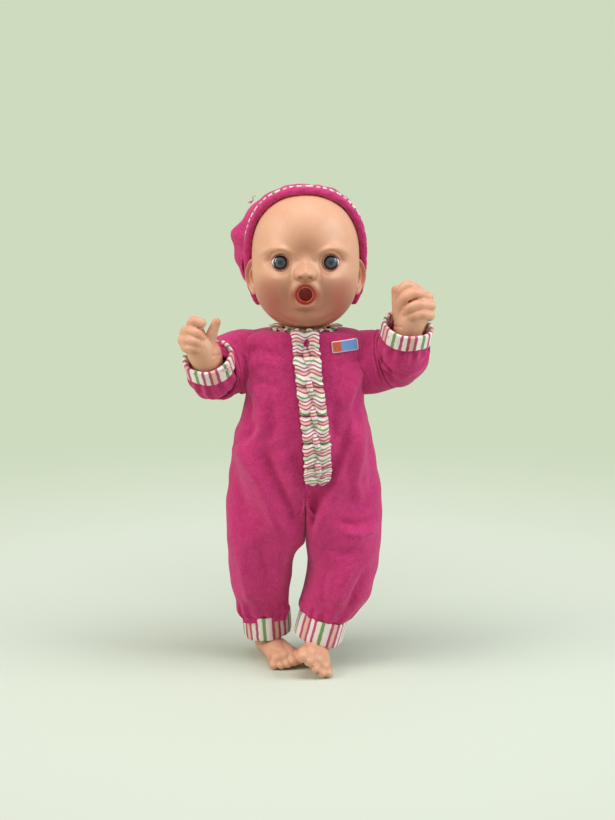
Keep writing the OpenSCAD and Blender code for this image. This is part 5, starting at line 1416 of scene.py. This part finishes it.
def eyeLookMaterial():
    # white, a dark ring, a streaked grey-blue iris and a black pupil, by distance from the middle
    gloss = {"Coat Weight": 0.7, "Coat Roughness": 0.03, "Roughness": 0.25}
    material, nodes, shader, place = freshLook("paintedEye", **gloss)
    ring = mask(nodes, "ring")
    centre = nodes.add("ShaderNodeVectorMath", operation="SUBTRACT")
    nodes.join(place, centre.inputs[0])
    nodes.join(nodes.add("ShaderNodeAttribute", attribute_name="middle").outputs["Vector"], centre.inputs[1])
    bearing = nodes.add("ShaderNodeVectorMath", operation="NORMALIZE")
    nodes.join(nodes.squeezed(centre.outputs[0], (1, 0, 1)), bearing.inputs[0])
    streaks = nodes.noise(bearing.outputs[0], 9.0, 4.0, 0.7)
    fine = nodes.noise(bearing.outputs[0], 30.0, 2.0, 0.7)
    wavy = nodes.plus(ring, nodes.times(nodes.minus(fine, 0.5), 0.5))
    iris = nodes.blend(nodes.spread(nodes.plus(streaks, nodes.times(fine, 0.4)), 0.5, 0.85), "#2A3344",
                       "#55647A")
    iris = nodes.blend(nodes.spread(wavy, 3.7, 4.5), iris, "#10182A")
    iris = nodes.blend(nodes.spread(wavy, 1.7, 2.4, 1.0, 0.0), iris, "#252F40")
    iris = nodes.blend(nodes.spread(ring, 1.45, 1.75, 1.0, 0.0), iris, "#050608")
    ball = nodes.blend(nodes.spread(nodes.noise(place, 300.0), 0.3, 0.8, 0.0, 0.3), "#F1EDE8", "#E3D6D0")
    nodes.join(nodes.blend(nodes.spread(ring, 5.55, 5.8), iris, ball), shader.inputs["Base Color"])
    return material


def metalLook(name, base):
    # drawn metal: fine lines along one way and slight stains
    material, nodes, shader, place = freshLook(name, **{"Metallic": 1.0})
    drawn = nodes.noise(nodes.squeezed(place, (1.0, 1.0, 0.06)), 2600.0, 2.0)
    stain = nodes.noise(place, 160.0, 3.0)
    outputs = {"Color": nodes.blend(nodes.spread(stain, 0.45, 0.75, 0.0, 0.5), base, "#8B8579"),
               "Roughness": nodes.spread(drawn, 0.2, 0.8, 0.22, 0.42), "Height": drawn}
    finish(nodes, shader, outputs, 0.00003)
    return material


def patchLook():
    # cloth in two printed fields, red and blue, with a white stitched edge
    dull = {"Specular IOR Level": 0.25, "Sheen Weight": 0.15}
    material, nodes, shader, place = freshLook("stitchedPatch", **dull)
    weave = nodes.noise(nodes.squeezed(place, (1.0, 1.0, 2.2)), 1500.0, 2.0)
    red = nodes.blend(nodes.spread(weave, 0.3, 0.7, 0.0, 0.5), "#B8453A", "#D98A5A")
    blue = nodes.blend(nodes.spread(weave, 0.3, 0.7, 0.0, 0.5), "#5C86C6", "#9DBBE4")
    field = nodes.blend(mask(nodes, "field"), red, blue)
    thread = nodes.blend(nodes.spread(weave, 0.3, 0.7), "#E6E6EA", "#FFFFFF")
    outputs = {"Color": nodes.blend(mask(nodes, "border"), field, thread),
               "Roughness": nodes.spread(weave, 0.2, 0.8, 0.8, 0.6), "Height": weave}
    finish(nodes, shader, outputs, 0.00015)
    return material


def boardLook():
    # green board with paler tracks
    material, nodes, shader, place = freshLook("greenBoard", **{"Coat Weight": 0.3, "Coat Roughness": 0.15})
    tracks = nodes.add("ShaderNodeTexBrick", offset=0.5)
    nodes.join(place, tracks.inputs["Vector"])
    for label, value in (("Scale", 130.0), ("Mortar Size", 0.03), ("Brick Width", 0.9), ("Row Height", 0.3)):
        tracks.inputs[label].default_value = value
    stain = nodes.noise(place, 300.0, 2.0)
    green = nodes.blend(stain, "#1F5A3A", "#2B7049")
    outputs = {"Color": nodes.blend(tracks.outputs["Fac"], green, "#6FA56F"),
               "Roughness": nodes.spread(stain, 0.3, 0.7, 0.3, 0.45), "Height": tracks.outputs["Fac"]}
    finish(nodes, shader, outputs, 0.00008)
    return material


def cellLook():
    # printed wrapper: copper top band over a dark body, by height
    material, nodes, shader, place = freshLook("wrappedCell", **{"Coat Weight": 0.5, "Coat Roughness": 0.1})
    parted = nodes.add("ShaderNodeSeparateXYZ")
    nodes.join(place, parted.inputs[0])
    smear = nodes.noise(place, 200.0, 3.0)
    body = nodes.blend(nodes.spread(smear, 0.3, 0.7, 0.0, 0.4), "#23252B", "#3B3F48")
    band = nodes.spread(parted.outputs["Z"], 0.2265, 0.2275)
    outputs = {"Color": nodes.blend(band, body, "#B87945"),
               "Roughness": nodes.spread(smear, 0.3, 0.7, 0.22, 0.36), "Height": smear}
    finish(nodes, shader, outputs, 0.00002)
    return material


looks = {
    "skin": skinLook(),
    "fleece": fleeceLook("pinkFleece", "#B3265F", "#D94888"),
    "hat": fleeceLook("hatFleece", "#B32862", "#DB4C8A"),
    "upStripes": stripeLook("upStripes"),
    "levelStripes": stripeLook("levelStripes", along=True),
    "patch": patchLook(),
    "eye": eyeLookMaterial(),
    "bodyPlastic": mouldedLook("bodyPlastic", "#E2B79C", "#CF9F84"),
    "whitePlastic": mouldedLook("whitePlastic", "#F0EEE8", "#D5D0C4"),
    "darkPlastic": mouldedLook("darkPlastic", "#2A2B30", "#4A4B50"),
    "buttonPlastic": mouldedLook("buttonPlastic", "#D8D4CC", "#B9B3A6"),
    "mouthPlastic": mouldedLook("mouthPlastic", "#F07F70", "#F29485"),
    "plungerPlastic": mouldedLook("plungerPlastic", "#EE8475", "#F29A8C"),
    "snap": mouldedLook("snapPlastic", "#F4F1EC", "#DDD7CC", **{"Coat Weight": 0.4}),
    "cone": mouldedLook("speakerCone", "#33343A", "#54555C", 0.0002, 900.0),
    "steel": metalLook("drawnSteel", "#C9C9C6"),
    "board": boardLook(),
    "cell": cellLook(),
}
print("looks made:", len(looks))


# putting the doll together

def addMiddle(piece, middle):
    # the eye's own middle as an attribute, so that its streaks run round it
    count = len(piece.data.vertices)
    values = np.tile(np.array(middle) * mm, (count, 1)).astype(np.float32)
    piece.data.attributes.new("middle", "FLOAT_VECTOR", "POINT").data.foreach_set("vector", values.ravel())


dress(makeHeadSkin(), "head", looks["skin"], "head_shell", slot="skin")
dress(makeMouthCup("mouthCup"), "head", looks["mouthPlastic"], "mouth_cup", slot="mouth_plastic")
print("head made")
sides = {1: "left", -1: "right"}
for side, word in sides.items():
    eye = makeEye(side, word + "Eye")
    addMiddle(eye, (side * head["eyeX"], head["eyeY"], head["eyeUp"] + head["middle"]))
    dress(eye, "head", looks["eye"], word + "_eye", slot="eye")
    dress(makeArm(side, word + "ArmSkin"), word + "_arm", looks["skin"], word + "_arm", slot="skin")
    dress(makeLeg(side, word + "LegSkin"), word + "_leg", looks["skin"], word + "_leg", slot="skin")
print("eyes, arms and legs made")

for side, word in sides.items():
    half = thicken(makeRomper(side, word + "Romper"), cloth["thickness"])
    applyModifiers(half)
    replaced = [word + "_trouser_leg"] + (["romper_body"] if side > 0 else [])
    dress(half, None, looks["fleece"], *replaced, slot="fleece")
    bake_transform(half)
    dress(makeSleeve(side, word + "Sleeve"), word + "_arm", looks["fleece"], word + "_sleeve", slot="fleece")
    dress(makeWristCuff(side, word + "WristCuff"), word + "_arm", looks["upStripes"], word + "_wrist_cuff",
          slot="striped_cotton")
    dress(makeAnkleCuff(side, word + "AnkleCuff"), word + "_leg", looks["upStripes"], word + "_ankle_cuff",
          slot="striped_cotton")
dress(makeWristBow("wristBow"), "right_arm", looks["upStripes"], slot="striped_cotton")
print("romper, sleeves and cuffs made")

ruffleStrip = dress(makeRuffle("placketRuffle"), "torso", looks["levelStripes"], "placket_ruffle",
                    slot="striped_cotton")
collarStrip = dress(makeCollar("collarRuffle"), "torso", looks["upStripes"], "collar_ruffle",
                    slot="striped_cotton")
patchPiece = dress(makePatch("chestPatch"), "torso", looks["patch"], "chest_patch", slot="patch")
dress(makeBackPlacket("backPlacket"), "torso", looks["fleece"], "back_placket", slot="fleece")
dress(makeSnaps("backSnaps"), "torso", looks["snap"], "back_snaps", slot="white_plastic")
dress(makeHatCrown("hatCrown"), "head", looks["hat"], "hat_crown", slot="fleece")
dress(makeHatBrim("hatBrim"), "head", looks["hat"], "hat_brim", slot="fleece")
dress(makePiping("hatPiping"), "head", looks["levelStripes"], "hat_piping", slot="striped_cotton")
bowAt = nodeMiddle("hat_bow")
dress(makeBow("hatBow", bowAt, (-0.8, -0.2, 0.6), 5.0), "head", looks["upStripes"], "hat_bow",
      slot="striped_cotton")
print("trimmings and hat made")

kept = {
    "bodyPlastic": ("torso_front_shell", "torso_back_shell", "battery_door", "neck_post", "left_hip_hub",
                    "right_hip_hub",
                    "left_shoulder_hub", "right_shoulder_hub"),
    "whitePlastic": ("battery_tray", "speaker_clip"),
    "darkPlastic": ("sound_chip", "mouth_switch", "tummy_switch", "power_switch_body"),
    "buttonPlastic": ("tummy_button", "power_switch_knob"),
    "plungerPlastic": ("mouth_plunger",), "cone": ("loudspeaker",),
    "steel": ("torso_screws", "battery_contacts", "door_screw", "button_spring"),
    "board": ("circuit_board",), "cell": ("battery_cells",),
}
for look, nodes in kept.items():
    for node in nodes:
        for slot in bpy.data.objects[node].material_slots:
            slot.material = looks[look]

# floor, lamps and camera

# sizes in metres; the lit paper turns into the plain colour over lit, and that one deepens over deepens
studio = {"lens": 62.2, "camera": (0.0016, -1.15, 0.42), "tilt": 80.0, "radius": 2.6, "lit": (0.12, 0.5),
          "deepens": (0.2, 1.05), "paper": "#D0D9CA", "pale": "#E5EBDD", "deep": "#CEDBBF"}


def mixShaders(nodes, share, first, second, output):
    mixed = nodes.add("ShaderNodeMixShader")
    nodes.join(share, mixed.inputs[0])
    nodes.join(first.outputs[0], mixed.inputs[1])
    nodes.join(second.outputs[0], mixed.inputs[2])
    nodes.join(mixed.outputs[0], output.inputs["Surface"])


def paleFor(nodes, shader, colour):
    # rays from the camera, a gloss or a clear piece see the plain colour; the others see the lit shader
    rays = nodes.add("ShaderNodeLightPath")
    pale = nodes.add("ShaderNodeBackground" if shader.bl_idname == "ShaderNodeBackground"
                     else "ShaderNodeEmission")
    nodes.feed(pale.inputs["Color"], colour)
    seen = nodes.sum("MAXIMUM", rays.outputs["Is Camera Ray"],
                     nodes.sum("MAXIMUM", rays.outputs["Is Glossy Ray"], rays.outputs["Is Transmission Ray"]))
    return pale, seen


def makeFloor():
    # a round floor whose lit paper turns into the plain backdrop colour with the distance from the doll
    radius = np.linspace(0, 1, 60)[:, None] ** 1.5 * studio["radius"] / mm
    angle = circle(96)
    grid = np.stack([radius * np.cos(angle), radius * np.sin(angle), 0 * radius * angle], -1)
    floor = mergeDoubles(putGrid("floor", grid, wrap=True))
    material, nodes, shader, place = freshLook("paperFloor", **{"Roughness": 0.9, "Specular IOR Level": 0.1})
    shader.inputs["Base Color"].default_value = rgb(studio["paper"])
    away = nodes.add("ShaderNodeVectorMath", operation="LENGTH")
    nodes.join(place, away.inputs[0])
    grain = nodes.times(nodes.noise(place, 6.0, 2.0), 0.04)
    distance = nodes.plus(away.outputs["Value"], grain)
    plain = nodes.blend(nodes.spread(distance, *studio["deepens"]), studio["pale"], studio["deep"])
    pale, seen = paleFor(nodes, shader, plain)
    share = nodes.times(seen, nodes.spread(distance, *studio["lit"]))
    mixShaders(nodes, share, shader, pale, material.node_tree.nodes["Material Output"])
    floor.data.materials.append(material)


def makeRoom():
    # the world lights the doll evenly, and the camera sees it as a plain backdrop
    world = bpy.data.worlds.new("room")
    bpy.context.scene.world = world
    world.use_nodes = True
    nodes = Nodes(world.node_tree)
    light = world.node_tree.nodes["Background"]
    light.inputs["Color"].default_value = rgb("#EEF2EA")
    light.inputs["Strength"].default_value = 0.3
    pale, seen = paleFor(nodes, light, studio["deep"])
    mixShaders(nodes, seen, light, pale, world.node_tree.nodes["World Output"])


def addLamp(name, place, aim, size, watts, colour="#FFFFFF"):
    data = bpy.data.lights.new(name, "AREA")
    data.shape, data.energy, data.color = "RECTANGLE", watts, rgb(colour)[:3]
    data.size, data.size_y = size
    lamp = bpy.data.objects.new(name, data)
    lamp.location = place
    lamp.rotation_euler = (Vector(aim) - Vector(place)).to_track_quat("-Z", "Y").to_euler()
    bpy.context.scene.collection.objects.link(lamp)


makeFloor()
makeRoom()
addLamp("leftSoftbox", (-1.15, -0.45, 0.85), (0, 0, 0.22), (0.7, 0.9), 12.0, "#FFF9F2")
addLamp("rightSoftbox", (1.15, -0.35, 0.9), (0, 0, 0.24), (0.7, 0.9), 13.0, "#F8FAFF")
addLamp("topSoftbox", (0.0, -0.35, 1.5), (0, 0, 0.2), (1.0, 0.8), 10.0)
cameraData = bpy.data.cameras.new("camera")
cameraData.lens, cameraData.sensor_width, cameraData.clip_start = studio["lens"], 36.0, 0.05
camera = bpy.data.objects.new("camera", cameraData)
camera.location = studio["camera"]
camera.rotation_euler = (math.radians(studio["tilt"]), 0, 0)
bpy.context.scene.collection.objects.link(camera)
bpy.context.scene.camera = camera
bpy.context.scene.view_settings.view_transform = "Standard"
